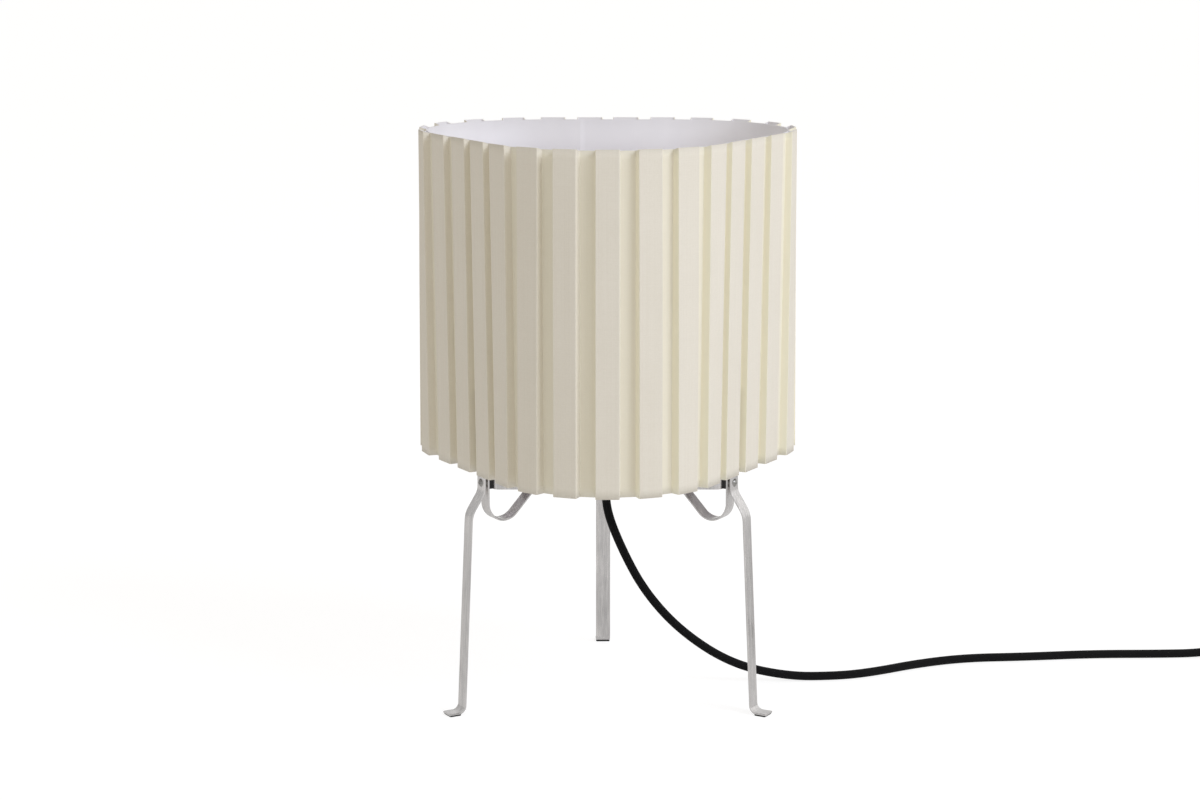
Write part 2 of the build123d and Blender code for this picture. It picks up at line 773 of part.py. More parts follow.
def report_coil(edges):
    """Print the coil's length and its least gap to itself, on points along its line."""
    samples, run = [], 0.0
    for edge in edges:
        parts = max(2, round(edge.length / 2))
        samples += [(run + edge.length * i / parts, edge @ (i / parts)) for i in range(parts)]
        run += edge.length
    least = min(
        (b - a).length
        for i, (run_a, a) in enumerate(samples)
        for run_b, b in samples[i + 1 :]
        if run_b - run_a > 3 * CORD_D
    )
    print(f"cord_coil: length {run:.1f}, least gap to itself {least - CORD_D:.2f}")


def switch_case(bottom, top, edge_z):
    """Half of the switch's case, with its outer long edge rounded."""
    outline = RectangleRounded(SWITCH_L, SWITCH_W, SWITCH_CORNER_R)
    half = extrude(Pos(SWITCH_X, SWITCH_Y, bottom) * outline, top - bottom, dir=(0, 0, 1))
    rim = half.edges().group_by(Axis.Z)[edge_z]
    return fillet(rim, SWITCH_EDGE)


def case_screw_places():
    return [Pos(SWITCH_X + side * CASE_SCREW_X, SWITCH_Y, 0) for side in (-1, 1)]


def switch_lower():
    case = switch_case(0, SWITCH_SPLIT, 0)
    pit_l = ROCKER_L + 2 * ROCKER_GAP
    pit_w = ROCKER_W + 2 * ROCKER_GAP
    pit_top = Pos(SWITCH_X, SWITCH_Y, SWITCH_SPLIT - ROCKER_PIT / 4)
    case -= pit_top * Box(pit_l, pit_w, ROCKER_PIT / 2)
    for place in case_screw_places():
        case -= place * Pos(0, 0, SWITCH_SPLIT / 2) * Cylinder(CASE_SCREW_R + SCREW_GAP, SWITCH_H)
        sink_h = CASE_SCREW_HEAD_H + CASE_SCREW_SINK
        case -= place * Pos(0, 0, sink_h / 2) * Cylinder(CASE_SCREW_HEAD_R + SCREW_GAP, sink_h)
    return case


def switch_upper():
    case = switch_case(SWITCH_SPLIT, SWITCH_H, -1)
    window = Box(ROCKER_L + 2 * ROCKER_GAP, ROCKER_W + 2 * ROCKER_GAP, 2 * SWITCH_H)
    case -= Pos(SWITCH_X, SWITCH_Y, SWITCH_H) * window
    pin_l = rocker_pin_length() + 2 * ROCKER_PIN_SPARE
    case -= rocker_pin_rod(ROCKER_PIN_R + ROCKER_PIN_GAP, pin_l)
    tip = CASE_SCREW_SINK + CASE_SCREW_HEAD_H + CASE_SCREW_L
    hole_h = tip + CASE_SCREW_SPARE - SWITCH_SPLIT
    for place in case_screw_places():
        case -= place * Pos(0, 0, SWITCH_SPLIT + hole_h / 2) * Cylinder(
            CASE_SCREW_R + SCREW_GAP, hole_h
        )
    return case


def case_screws():
    screws = []
    under = CASE_SCREW_SINK + CASE_SCREW_HEAD_H
    head = Pos(0, 0, under - CASE_SCREW_HEAD_H / 2) * Cylinder(
        CASE_SCREW_HEAD_R, CASE_SCREW_HEAD_H
    )
    shank = Pos(0, 0, under + CASE_SCREW_L / 2) * Cylinder(CASE_SCREW_R, CASE_SCREW_L)
    for place in case_screw_places():
        screws.append((place * (head + shank)).solid())
    return Compound(screws)


def rocker_pin_length():
    return ROCKER_W + 2 * ROCKER_GAP + 2 * ROCKER_PIN_SEAT


def rocker_pin_rod(radius, length):
    return Pos(SWITCH_X, SWITCH_Y, ROCKER_PIN_Z) * Rot(90, 0, 0) * Cylinder(radius, length)


def switch_pin():
    return rocker_pin_rod(ROCKER_PIN_R, rocker_pin_length())


def switch_rocker():
    """A rocker with a hollowed top, tipped to its off side about the pin."""
    half = ROCKER_L / 2
    rise = half * math.tan(math.radians(ROCKER_TILT))
    top = SWITCH_H - ROCKER_PIN_Z + ROCKER_PROUD
    outline = [
        (-half, -ROCKER_DEPTH + rise),
        (0, -ROCKER_DEPTH),
        (half, -ROCKER_DEPTH + rise),
        (half, top),
        (0, top - rise),
        (-half, top),
    ]
    face = Plane.XZ * make_face(Polyline(*outline, close=True))
    body = extrude(face, ROCKER_W / 2, both=True)
    sweep_room = Rot(90, 0, 0) * Cylinder(half, 2 * ROCKER_W)
    bore = Rot(90, 0, 0) * Cylinder(ROCKER_PIN_R + ROCKER_PIN_GAP, 2 * ROCKER_W)
    tipped = Rot(0, -ROCKER_TILT, 0) * ((body & sweep_room) - bore)
    return Pos(SWITCH_X, SWITCH_Y, ROCKER_PIN_Z) * tipped


def switch_reliefs():
    """A tapered sleeve at each end of the switch, for the cord."""
    cone = Rot(0, 90, 0) * Cone(RELIEF_R, RELIEF_TIP_R, RELIEF_L)
    reach = SWITCH_L / 2 + RELIEF_L / 2
    right = Pos(SWITCH_X + reach, SWITCH_Y, SWITCH_SPLIT) * cone
    left = Pos(SWITCH_X - reach, SWITCH_Y, SWITCH_SPLIT) * Rot(0, 0, 180) * cone
    return Compound([left.solid(), right.solid()])


def plug_body():
    """A flat moulded body that narrows from its pins to its cord."""
    front = PLUG_BACK_X - PLUG_L
    outline = Polyline(
        (front, PLUG_Y - PLUG_W / 2),
        (front + PLUG_SHOULDER_L, PLUG_Y - PLUG_W / 2),
        (front + PLUG_WAIST_L, PLUG_Y - PLUG_WAIST_W / 2),
        (PLUG_BACK_X, PLUG_Y - PLUG_TAIL_W / 2),
        (PLUG_BACK_X, PLUG_Y + PLUG_TAIL_W / 2),
        (front + PLUG_WAIST_L, PLUG_Y + PLUG_WAIST_W / 2),
        (front + PLUG_SHOULDER_L, PLUG_Y + PLUG_W / 2),
        (front, PLUG_Y + PLUG_W / 2),
        close=True,
    )
    body = extrude(make_face(outline), PLUG_H, dir=(0, 0, 1))
    ends = body.edges().group_by(Axis.Z)
    return chamfer(ends[0] + ends[-1], PLUG_EDGE)


def plug_relief():
    cone = Rot(0, 90, 0) * Cone(RELIEF_R, RELIEF_TIP_R, PLUG_RELIEF_L)
    return Pos(PLUG_BACK_X + PLUG_RELIEF_L / 2, PLUG_Y, PLUG_Z) * cone


def plug_pin_rods(radius, start, length):
    """A rod along -X on each pin's axis, from a distance in front of the plug."""
    front = PLUG_BACK_X - PLUG_L - start
    rods = []
    for side in (-1, 1):
        place = Pos(front - length / 2, PLUG_Y + side * PIN_SPACING / 2, PLUG_Z)
        rods.append(place * Rot(0, 90, 0) * Cylinder(radius, length))
    return rods


def plug_pins():
    """Metal pins, each rounded at its tip, with a thinner stem under the sleeve."""
    stems = plug_pin_rods(PIN_STEM_R, 0, PIN_SLEEVE_L)
    tips = plug_pin_rods(PIN_R, PIN_SLEEVE_L, PIN_L - PIN_SLEEVE_L)
    pins = []
    for stem, tip in zip(stems, tips):
        tip = fillet(tip.edges().group_by(Axis.X)[0], PIN_TIP_ROUND)
        pins.append((stem + tip).solid())
    return Compound(pins)


def plug_sleeves():
    """Moulded sleeves round the stems of the pins."""
    outer = plug_pin_rods(PIN_R, 0, PIN_SLEEVE_L)
    inner = plug_pin_rods(PIN_STEM_R, 0, PIN_SLEEVE_L)
    return Compound([(rod - bore).solid() for rod, bore in zip(outer, inner)])


def frame_shift():
    """How far the lamp's axis stands behind the middle of its box."""
    reaches = [r + corner_centre(r) + PLEAT_DEPTH for r in (CORNER_R_HEM, CORNER_R_RIM)]
    sides = [side_reach(r) + PLEAT_DEPTH for r in (CORNER_R_HEM, CORNER_R_RIM)]
    way = direction(LEG_AZIMUTHS["back"])
    toe = TOE_R * way.Y + BAR_W / 2 * abs(way.X)
    return (max(reaches) - max([toe, *sides])) / 2


def make_parts():
    """Every node by its name, about the lamp's axis."""
    parts = {
        "pleated_cover": pleated_cover(),
        "shade_liner": shade_liner(),
        "hem_ring": hem_ring(),
        "shade_sockets": shade_sockets(),
    }
    for side, azimuth in LEG_AZIMUTHS.items():
        parts[f"leg_{side}"] = turned(leg(), azimuth)
        parts[f"arm_{side}"] = turned(arm(), azimuth)
    parts |= {
        "lower_ring": lower_ring(),
        "leg_washers": on_legs(leg_washer()),
        "ring_spacers": on_legs(ring_spacer()),
        "joint_screws": on_legs(joint_screw()),
        "joint_nuts": on_legs(joint_nut()),
        "foot_pads": on_legs(foot_pad()),
        "hub_plate": hub_plate(),
        "hub_screws": on_legs(hub_screw()),
        "threaded_nipple": nipple(),
        "hub_nut": hub_nut(),
        "cord_grip": cord_grip(),
        "holder_cap": holder_cap(),
        "holder_insulator": holder_insulator(),
        "holder_body": holder_body(),
        "holder_screw_shell": holder_screw_shell(),
        "holder_contact": holder_contact(),
        "bulb_glass": bulb_glass(),
        "bulb_cap": bulb_cap(),
        "bulb_button": bulb_button(),
        "cord_run": cord_tube("cord_run", CORD_ROUTE),
        "switch_lower": switch_lower(),
        "switch_upper": switch_upper(),
        "switch_rocker": switch_rocker(),
        "switch_pin": switch_pin(),
        "case_screws": case_screws(),
        "switch_reliefs": switch_reliefs(),
        "cord_lead": cord_tube("cord_lead", lead_route()),
        "cord_coil": cord_coil(),
        "cord_tail": cord_tube("cord_tail", tail_route()),
        "plug_relief": plug_relief(),
        "plug_body": plug_body(),
        "plug_pins": plug_pins(),
        "plug_sleeves": plug_sleeves(),
    }
    return parts


def main():
    os.makedirs("parts", exist_ok=True)
    shift = Pos(0, frame_shift(), 0)
    print(f"lamp axis at y {frame_shift():.3f}")
    for name, shape in make_parts().items():
        export_step(shift * shape, f"parts/{name}.step")


main()
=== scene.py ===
"""Looks of the pleated table lamp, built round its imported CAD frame."""

import json
import math
import random

import bpy
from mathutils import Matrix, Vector

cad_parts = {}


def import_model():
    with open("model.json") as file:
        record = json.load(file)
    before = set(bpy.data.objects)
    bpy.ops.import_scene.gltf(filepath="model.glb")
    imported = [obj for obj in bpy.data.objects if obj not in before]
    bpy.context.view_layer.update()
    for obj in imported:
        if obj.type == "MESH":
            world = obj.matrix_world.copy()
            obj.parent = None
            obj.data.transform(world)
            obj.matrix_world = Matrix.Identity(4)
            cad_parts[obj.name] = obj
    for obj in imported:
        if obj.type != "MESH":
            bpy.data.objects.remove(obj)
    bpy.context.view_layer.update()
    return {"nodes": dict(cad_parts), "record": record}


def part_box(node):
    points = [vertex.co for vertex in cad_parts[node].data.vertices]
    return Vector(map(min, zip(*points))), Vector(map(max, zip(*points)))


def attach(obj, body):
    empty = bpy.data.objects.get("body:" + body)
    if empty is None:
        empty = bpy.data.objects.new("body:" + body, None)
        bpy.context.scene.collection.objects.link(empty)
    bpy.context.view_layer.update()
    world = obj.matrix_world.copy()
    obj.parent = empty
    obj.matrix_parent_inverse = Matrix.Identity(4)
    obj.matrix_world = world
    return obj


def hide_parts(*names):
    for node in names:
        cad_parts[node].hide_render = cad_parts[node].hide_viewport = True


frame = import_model()
MM = 0.001

# The shade's plan: a triangle with round corners, one of them to the front
SIDES = 3
FRONT = -90.0
CORNER_SWEEP = 360.0 / SIDES
CORNER_R_HEM = 72.5 * MM
CORNER_R_RIM = 83.0 * MM
PLEATS_PER_SIDE = 9
PLEAT_PITCH = 28.8 * MM
PLEAT_FACE = 17.1 * MM
FACE_SWELL = 1.5 * MM
DEPTH_HEM = 6.6 * MM
DEPTH_RIM = 5.7 * MM
DEPTH_SWELL = 0.9 * MM
PLEAT_DRIFT = (6.0 * MM, 6.0 * MM, -1.8 * MM)
FABRIC_T = 0.8 * MM
LINER_T = 0.5 * MM
GLUE_T = 0.4 * MM
PLAN_LENGTH = SIDES * PLEATS_PER_SIDE * PLEAT_PITCH

# Folds of the cover: small arcs, with a point beside each that keeps the panels flat
RIM_STEP = 1.2 * MM
FOLD_R = 0.45 * MM
FOLD_STEPS = 3
FOLD_SUPPORT = 0.3 * MM
FOLD_PARTS = (1, 3, 1, 2)
FOLD_DEPTHS = (1.0, 0.0, 0.0, 1.0)
# Painted glow along the outline, for the stretch after each fold: one wall of each pleat full, its face and
# other wall none, the channel floor partly; it stands for light that passes through the cloth and bounces in
# the folds
FOLD_PAINTED_GLOW = (1.0, 0.0, 0.0, 0.4)
LEVELS = 36
NUDGE = 0.35 * MM
LIFT = 0.22 * MM
WOBBLE_SEED = 7
WOBBLE_SHARE = (0.3, 1.0)
WOBBLE_WAVES = (0.4, 1.6)
WOBBLE_PHASE = (0.0, 6.28)

# The lining sheet, whose right end laps over its left one on the back side
LAP_EDGE_X = -17.5 * MM
LAP_BEVEL = 2.4 * MM
LAP_T = 0.9 * MM
LAP_FADE = 45.0 * MM
LINING_STEP = 4.0 * MM
LINING_LEVELS = 10

# Places read from the frame, then the legs' azimuths and width as given
AXIS_Y = sum(corner.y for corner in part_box("threaded_nipple")) / 2
HEM_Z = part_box("pleated_cover")[0].z
RIM_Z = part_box("pleated_cover")[1].z
LEG_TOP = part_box("leg_back")[1].z
LEG_AZIMUTHS = (210.0, -30.0, 91.8)
LEG_W = 10.5 * MM

# The legs' tips behind the cloth: how dark, how wide to either side, how far out, and where they end
LEG_SHADOW = 0.2
LEG_SHADOW_SIDE = (LEG_W * 0.45, LEG_W * 0.75)
LEG_SHADOW_OUT = (0.0, 10.0 * MM)
LEG_SHADOW_END = (LEG_TOP - 2.0 * MM, LEG_TOP + 3.0 * MM)

# Soles under the feet: from the toe to just past the start of the foot's bend
PAD_LENGTH = 6.4 * MM
SOLE_LENGTH = 8.4 * MM
SOLE_W = 10.1 * MM
SOLE_T = 0.8 * MM
SOLE_R = 0.9 * MM
SOLE_EDGE = 0.2 * MM
SOLE_STEPS = 5

# Cord: its route in millimetres from the lamp's axis, then the coil of what the photograph doesn't show
CORD_D = 6.0 * MM
CORD_FLOOR = 3.0
SWITCH_MIDDLE = 7.0
CORD_ROUTE = [
    (0.0, 0.0, 172.5),
    (0.0, 0.0, 152.5),
    (-2.0, 1.0, 131.5),
    (9.0, 3.0, 101.5),
    (26.0, 5.0, 68.5),
    (52.0, 8.5, 38.5),
    (88.0, 13.5, 13.5),
    (128.0, 18.6, CORD_FLOOR),
    (163.0, 19.6, CORD_FLOOR),
    (188.0, 28.0, CORD_FLOOR),
    (226.0, 51.0, CORD_FLOOR),
    (262.0, 64.5, CORD_FLOOR),
    (305.0, 67.5, CORD_FLOOR),
    (355.0, 74.5, CORD_FLOOR),
    (405.0, 75.0, CORD_FLOOR),
    (436.0, 77.3, CORD_FLOOR),
    (452.0, 77.0, SWITCH_MIDDLE),
    (462.0, 77.0, SWITCH_MIDDLE),
]
CORD_SIDES = 20
CORD_STEP = 1.5 * MM
CORD_SPLINE_STEPS = 16
COIL_TURNS_PER_LAYER = 3
COIL_CLIMB_TURNS = 0.5
COIL_POINTS_PER_TURN = 16
COIL_OUTER_R = 43.0 * MM
COIL_PITCH = 6.7 * MM
COIL_LAYER_H = 6.6 * MM
DROP_FROM = 0.28
DROP_TO = 0.7

# Braid of the cord: carriers each way round it
BRAID_CARRIERS = 16
BRAID_PER_METRE = BRAID_CARRIERS / (math.pi * CORD_D)

# Ribbed boots on the cord, and the bulb's cap with its thread
BOOT_SIDES = 32
BOOT_RIB = 1.6 * MM
BOOT_GROOVE = 0.35 * MM
BOOT_STEPS_PER_RIB = 8
BOOT_TAPER = 1.0 * MM
CAP_BEVEL = 2.6 * MM
COLLAR_OUT = 0.9 * MM
COLLAR_H = 2.0 * MM
THREAD_PITCH = 25.4 / 7 * MM
THREAD_DEPTH = 0.9 * MM
THREAD_SIDES = 64
THREAD_STEPS_PER_PITCH = 12
THREAD_RUN_OUT = 1.5 * MM

# Finishes: sRGB colours, cells of noise to a metre, and the part that each kind of grain plays
COTTON_DARK = (224, 218, 203)
COTTON_LIGHT = (235, 230, 217)
# Lighter, yellower cloth for the folds: a painted glow for light that comes through the cloth and bounces in
# them
COTTON_PAINTED_GLOW = (247, 243, 222)
COTTON_SHADOW = (150, 146, 134)
COTTON_INSIDE = (238, 236, 238)
WEFT_CELLS = (280.0, 2600.0, 1.0)
WARP_CELLS = (2600.0, 280.0, 1.0)
LEVEL_SLUB_CELLS = (30.0, 1400.0, 1.0)
UPRIGHT_SLUB_CELLS = (1100.0, 8.0, 1.0)
COTTON_CLOUD_CELLS = 16.0
COTTON_SLUB_PARTS = (0.5, 1.0)
COTTON_COLOUR_PARTS = (0.22, 0.2, 0.16)
COTTON_BUMP_PARTS = (0.5, 0.3)
LINING_DARK = (237, 235, 238)
LINING_LIGHT = (244, 242, 244)
LINING_STRETCH = (1.0, 1.0, 0.4)
LINING_CLOUD_CELLS = 22.0
LINING_GRAIN_CELLS = 700.0
STEEL_STREAK = 0.2
STEEL_CLOUD_STRETCH = (1.0, 1.0, 0.5)
STEEL_CLOUD_CELLS = 60.0
STEEL_PARTS = (0.45, 0.3, 0.25)
MOULDED_CLOUD_CELLS = 90.0
# The braid's two colours: the darker is painted shade between the strands, the lighter their crowns, mixed
# also by random fuzz
BRAID_DARK = (9, 9, 10)
BRAID_LIGHT = (26, 26, 27)
BRAID_FUZZ_CELLS = 2600.0
BRAID_PARTS = (0.5, 0.5)
OPAL_DARK = (240, 239, 236)
OPAL_LIGHT = (247, 246, 243)
OPAL_CLOUD_CELLS = 40.0

# Metals by the record's slot: name, light and dark colour, cells along X, Y and Z, roughness
METALS = {
    "bar_steel": ("brushed_bar", (226, 223, 221), (184, 182, 181), (1500.0, 1500.0, 18.0), 0.22),
    "fixing_steel": ("plated_fixings", (176, 174, 170), (132, 131, 128), (500.0, 500.0, 500.0), 0.28),
    "contact_brass": ("brass", (214, 186, 120), (176, 146, 84), (600.0, 600.0, 60.0), 0.3),
    "bulb_metal": ("bulb_metal", (212, 212, 213), (178, 178, 180), (300.0, 300.0, 900.0), 0.28),
    "pin_metal": ("pin_metal", (220, 219, 216), (186, 185, 182), (90.0, 800.0, 800.0), 0.2),
}

# Moulded and coated parts by the record's slot: name, colour, worn colour, roughness, cells of grain
MOULDED = {
    "coated_wire": ("white_coating", (226, 225, 220), (214, 212, 206), 0.4, 700.0),
    "clear_plastic": ("white_plastic", (224, 223, 219), (232, 231, 228), 0.45, 900.0),
    "black_plastic": ("black_plastic", (20, 20, 21), (32, 32, 33), 0.42, 1500.0),
    "foot_rubber": ("foot_rubber", (32, 32, 32), (46, 45, 44), 0.75, 900.0),
    "holder_ceramic": ("ceramic", (226, 223, 214), (234, 231, 224), 0.25, 300.0),
}

# Lights: how much the world and the key give an upright face, as shares of 1
WORLD_LIGHT = 0.625
WORLD_COLOUR = (1.0, 0.955, 0.905, 1.0)
KEY_AZIMUTH = -34.5
KEY_ELEVATION = 35.0
KEY_DISTANCE = 2.6
KEY_SIZE = 1.3
KEY_LIGHT = 0.385
KEY_COLOUR = (0.95, 1.0, 1.13)
LAMP_MIDDLE = 0.2
GLOSS_DARK = 0.55
GLOSS_BRIGHT = 1.1
FLOOR_SIZE = 40.0
FLOOR_COLOUR = (244, 244, 244)
FLOOR_ROUGHNESS = 0.7
FLOOR_SHARE = 0.66
FLOOR_GLOW = 1.22
FLOOR_DIM = 0.43

# Camera, fitted to the photograph, its place taken from the lamp's axis
CAMERA_AT = (0.0006, -1.8011, 0.5517)
CAMERA_PITCH = 7.713
CAMERA_LENS = 79.0
CAMERA_SENSOR = 36.0
CAMERA_SHIFT = (-0.00718, -0.12)


def linear(red, green, blue):
    """An sRGB colour of 0 to 255 as the linear colour that a shader takes."""
    return tuple(
        value / 12.92 if value <= 0.04045 else ((value + 0.055) / 1.055) ** 2.4
        for value in (red / 255, green / 255, blue / 255)
    ) + (1.0,)


class Material:
    """A node material with short calls for the nodes that the looks need."""

    def __init__(self, name):
        self.material = bpy.data.materials.new(name)
        self.material.use_nodes = True
        self.tree = self.material.node_tree
        self.shader = self.tree.nodes["Principled BSDF"]

    def add(self, kind, **settings):
        node = self.tree.nodes.new(kind)
        for key, value in settings.items():
            setattr(node, key, value)
        return node

    def link(self, start, end):
        self.tree.links.new(start, end)

    def set(self, **values):
        for key, value in values.items():
            self.shader.inputs[key.replace("_", " ")].default_value = value

    def coordinates(self, source, scale=(1.0, 1.0, 1.0)):
        place = self.add("ShaderNodeTexCoord")
        mapping = self.add("ShaderNodeMapping")
        mapping.inputs["Scale"].default_value = scale
        self.link(place.outputs[source], mapping.inputs["Vector"])
        return mapping.outputs["Vector"]

    def attribute(self, name):
        return self.add("ShaderNodeAttribute", attribute_name=name).outputs["Fac"]

    def noise(self, vector, cells=1.0, detail=3.0, roughness=0.55):
        node = self.add("ShaderNodeTexNoise")
        node.inputs["Scale"].default_value = cells
        node.inputs["Detail"].default_value = detail
        node.inputs["Roughness"].default_value = roughness
        self.link(vector, node.inputs["Vector"])
        return node.outputs["Fac"]

    def math(self, operation, first, second=0.0):
        node = self.add("ShaderNodeMath", operation=operation)
        for value, socket in zip((first, second), node.inputs):
            if isinstance(value, (int, float)):
                socket.default_value = value
            else:
                self.link(value, socket)
        return node.outputs[0]

    def weighted(self, values, parts):
        """The sum of some values, each times the part that it plays."""
        total = 0.0
        for value, part in zip(values, parts):
            total = self.math("ADD", self.math("MULTIPLY", value, part), total)
        return total

    def ramp(self, value, low, high, bottom=0.0, top=1.0):
        """The value mapped from its own range to another, and kept in it."""
        node = self.add("ShaderNodeMapRange")
        self.link(value, node.inputs["Value"])
        node.inputs["From Min"].default_value = bottom
        node.inputs["From Max"].default_value = top
        node.inputs["To Min"].default_value = low
        node.inputs["To Max"].default_value = high
        return node.outputs["Result"]

    def blend(self, factor, first, second):
        """Two colours mixed; each is an sRGB triple or a socket."""
        node = self.add("ShaderNodeMix", data_type="RGBA")
        self.link(factor, node.inputs["Factor"])
        for value, socket in zip((first, second), (node.inputs[6], node.inputs[7])):
            if isinstance(value, tuple):
                socket.default_value = linear(*value)
            else:
                self.link(value, socket)
        return node.outputs[2]

    def colour(self, value):
        self.link(value, self.shader.inputs["Base Color"])

    def roughness(self, value):
        self.link(value, self.shader.inputs["Roughness"])

    def bump(self, height, strength, distance):
        node = self.add("ShaderNodeBump")
        node.inputs["Strength"].default_value = strength
        node.inputs["Distance"].default_value = distance
        self.link(height, node.inputs["Height"])
        self.link(node.outputs["Normal"], self.shader.inputs["Normal"])


def cotton():
    """Off-white cloth with slubs, a painted glow in its folds and a painted shadow where each leg's tip
    stands behind it; U runs round the shade in metres, V up it.
    """
    m = Material("cotton")
    weft = m.noise(m.coordinates("UV", WEFT_CELLS))
    warp = m.noise(m.coordinates("UV", WARP_CELLS))
    slub_level = m.noise(m.coordinates("UV", LEVEL_SLUB_CELLS), detail=2.0)
    slub_upright = m.noise(m.coordinates("UV", UPRIGHT_SLUB_CELLS), detail=2.0)
    cloudy = m.noise(m.coordinates("UV"), COTTON_CLOUD_CELLS)
    threads = m.math("ADD", weft, warp)
    slubs = m.weighted((slub_level, slub_upright), COTTON_SLUB_PARTS)
    uneven = m.weighted((threads, slubs, cloudy), COTTON_COLOUR_PARTS)
    face = m.blend(m.ramp(uneven, 0.0, 1.0, bottom=0.35, top=0.65), COTTON_DARK, COTTON_LIGHT)
    # The tone attribute mixes the folds towards a lighter, yellower colour: a painted glow for light that
    # passes through the cloth
    with_painted_glow = m.blend(m.attribute("tone"), face, COTTON_PAINTED_GLOW)
    shadow = m.math("MULTIPLY", leg_shadow(m), m.attribute("fold"))
    outer = m.blend(m.math("MULTIPLY", shadow, LEG_SHADOW), with_painted_glow, COTTON_SHADOW)
    m.colour(m.blend(m.attribute("inside"), outer, COTTON_INSIDE))
    m.roughness(m.ramp(threads, 0.8, 0.95, bottom=0.6, top=1.4))
    m.set(Sheen_Weight=0.08, Sheen_Roughness=0.5, Specular_IOR_Level=0.2)
    m.bump(m.weighted((threads, slubs), COTTON_BUMP_PARTS), strength=0.25, distance=0.12 * MM)
    return m.material


def leg_shadow(m):
    """One where a leg's tip stands behind the cloth, falling softly to nought beside it."""
    place = m.add("ShaderNodeTexCoord").outputs["Object"]
    total = 0.0
    for azimuth in LEG_AZIMUTHS:
        mapping = m.add("ShaderNodeMapping")
        mapping.inputs["Rotation"].default_value = (0.0, 0.0, -math.radians(azimuth))
        centred = m.add("ShaderNodeVectorMath", operation="SUBTRACT")
        centred.inputs[1].default_value = (0.0, AXIS_Y, 0.0)
        m.link(place, centred.inputs[0])
        m.link(centred.outputs[0], mapping.inputs["Vector"])
        parts = m.add("ShaderNodeSeparateXYZ")
        m.link(mapping.outputs[0], parts.inputs[0])
        aside = m.math("ABSOLUTE", parts.outputs["Y"])
        near = m.ramp(aside, 1.0, 0.0, *LEG_SHADOW_SIDE)
        behind = m.ramp(parts.outputs["X"], 0.0, 1.0, *LEG_SHADOW_OUT)
        below = m.ramp(parts.outputs["Z"], 1.0, 0.0, *LEG_SHADOW_END)
        total = m.math("ADD", m.math("MULTIPLY", m.math("MULTIPLY", near, behind), below), total)
    return total


def lining():
    """Smooth white sheet with a faint cloudiness."""
    m = Material("lining")
    tone = m.noise(m.coordinates("Object", LINING_STRETCH), LINING_CLOUD_CELLS)
    grain = m.noise(m.coordinates("Object"), LINING_GRAIN_CELLS, detail=2.0)
    m.colour(m.blend(m.ramp(tone, 0.0, 1.0, bottom=0.3, top=0.7), LINING_DARK, LINING_LIGHT))
    m.roughness(m.ramp(tone, 0.45, 0.6))
    m.set(Specular_IOR_Level=0.35)
    m.bump(grain, strength=0.05, distance=0.1 * MM)
    return m.material


def metal(name, light, dark, cells, rough):
    """Brushed or plated metal: fine lines along one axis, with slow clouds of wear."""
    m = Material(name)
    lines = m.noise(m.coordinates("Object", cells), detail=4.0, roughness=0.7)
    streaks = m.noise(m.coordinates("Object", tuple(size * STEEL_STREAK for size in cells)))
    cloud = m.noise(m.coordinates("Object", STEEL_CLOUD_STRETCH), STEEL_CLOUD_CELLS)
    uneven = m.weighted((lines, streaks, cloud), STEEL_PARTS)
    m.colour(m.blend(m.ramp(uneven, 0.0, 1.0, bottom=0.38, top=0.62), dark, light))
    m.roughness(m.ramp(uneven, rough - 0.06, rough + 0.08, bottom=0.35, top=0.65))
    m.set(Metallic=1.0)
    m.bump(lines, strength=0.15, distance=0.04 * MM)
    return m.material


def moulded(name, colour, worn, rough, grain):
    """Moulded plastic, rubber or a coating, with a fine grain and slightly worn clouds."""
    m = Material(name)
    fine = m.noise(m.coordinates("Object"), grain, detail=2.0)
    cloud = m.noise(m.coordinates("Object"), MOULDED_CLOUD_CELLS)
    m.colour(m.blend(m.ramp(cloud, 0.0, 1.0, bottom=0.35, top=0.7), colour, worn))
    m.roughness(m.ramp(cloud, rough - 0.05, rough + 0.08, bottom=0.3, top=0.7))
    m.bump(fine, strength=0.15, distance=0.06 * MM)
    return m.material


def braid():
    """Black textile braid, its strands' crowns lighter and the grooves between them darker as painted shade,
    with random fuzz; U runs along the cord in metres, V round it from 0 to 1.
    """
    m = Material("braid")
    parts = m.add("ShaderNodeSeparateXYZ")
    m.link(m.coordinates("UV", (BRAID_PER_METRE, BRAID_CARRIERS, 1.0)), parts.inputs[0])
    along, around = parts.outputs["X"], parts.outputs["Y"]
    one_way = m.math("ADD", along, around)
    other_way = m.math("SUBTRACT", along, around)
    cells = m.math("ADD", m.math("FLOOR", one_way), m.math("FLOOR", other_way))
    over = m.math("FLOORED_MODULO", cells, 2.0)
    first, second = (
        m.math("ABSOLUTE", m.math("SINE", m.math("MULTIPLY", way, math.pi)))
        for way in (one_way, other_way)
    )
    under = m.math("SUBTRACT", 1.0, over)
    strand_relief_and_shade = m.math("ADD", m.math("MULTIPLY", first, over), m.math("MULTIPLY", second, under))
    fuzz = m.noise(m.coordinates("Object"), BRAID_FUZZ_CELLS, detail=2.0)
    # The strand relief gives painted shade in the colour, darker between strands and lighter on their
    # crowns, and with the fuzz also the bump
    uneven = m.weighted((strand_relief_and_shade, fuzz), BRAID_PARTS)
    m.colour(m.blend(m.ramp(uneven, 0.0, 1.0, bottom=0.3, top=0.9), BRAID_DARK, BRAID_LIGHT))
    m.roughness(m.ramp(fuzz, 0.8, 0.95, bottom=0.3, top=0.7))
    m.set(Specular_IOR_Level=0.12, Sheen_Weight=0.03, Sheen_Roughness=0.5)
    m.bump(uneven, strength=0.5, distance=0.15 * MM)
    return m.material


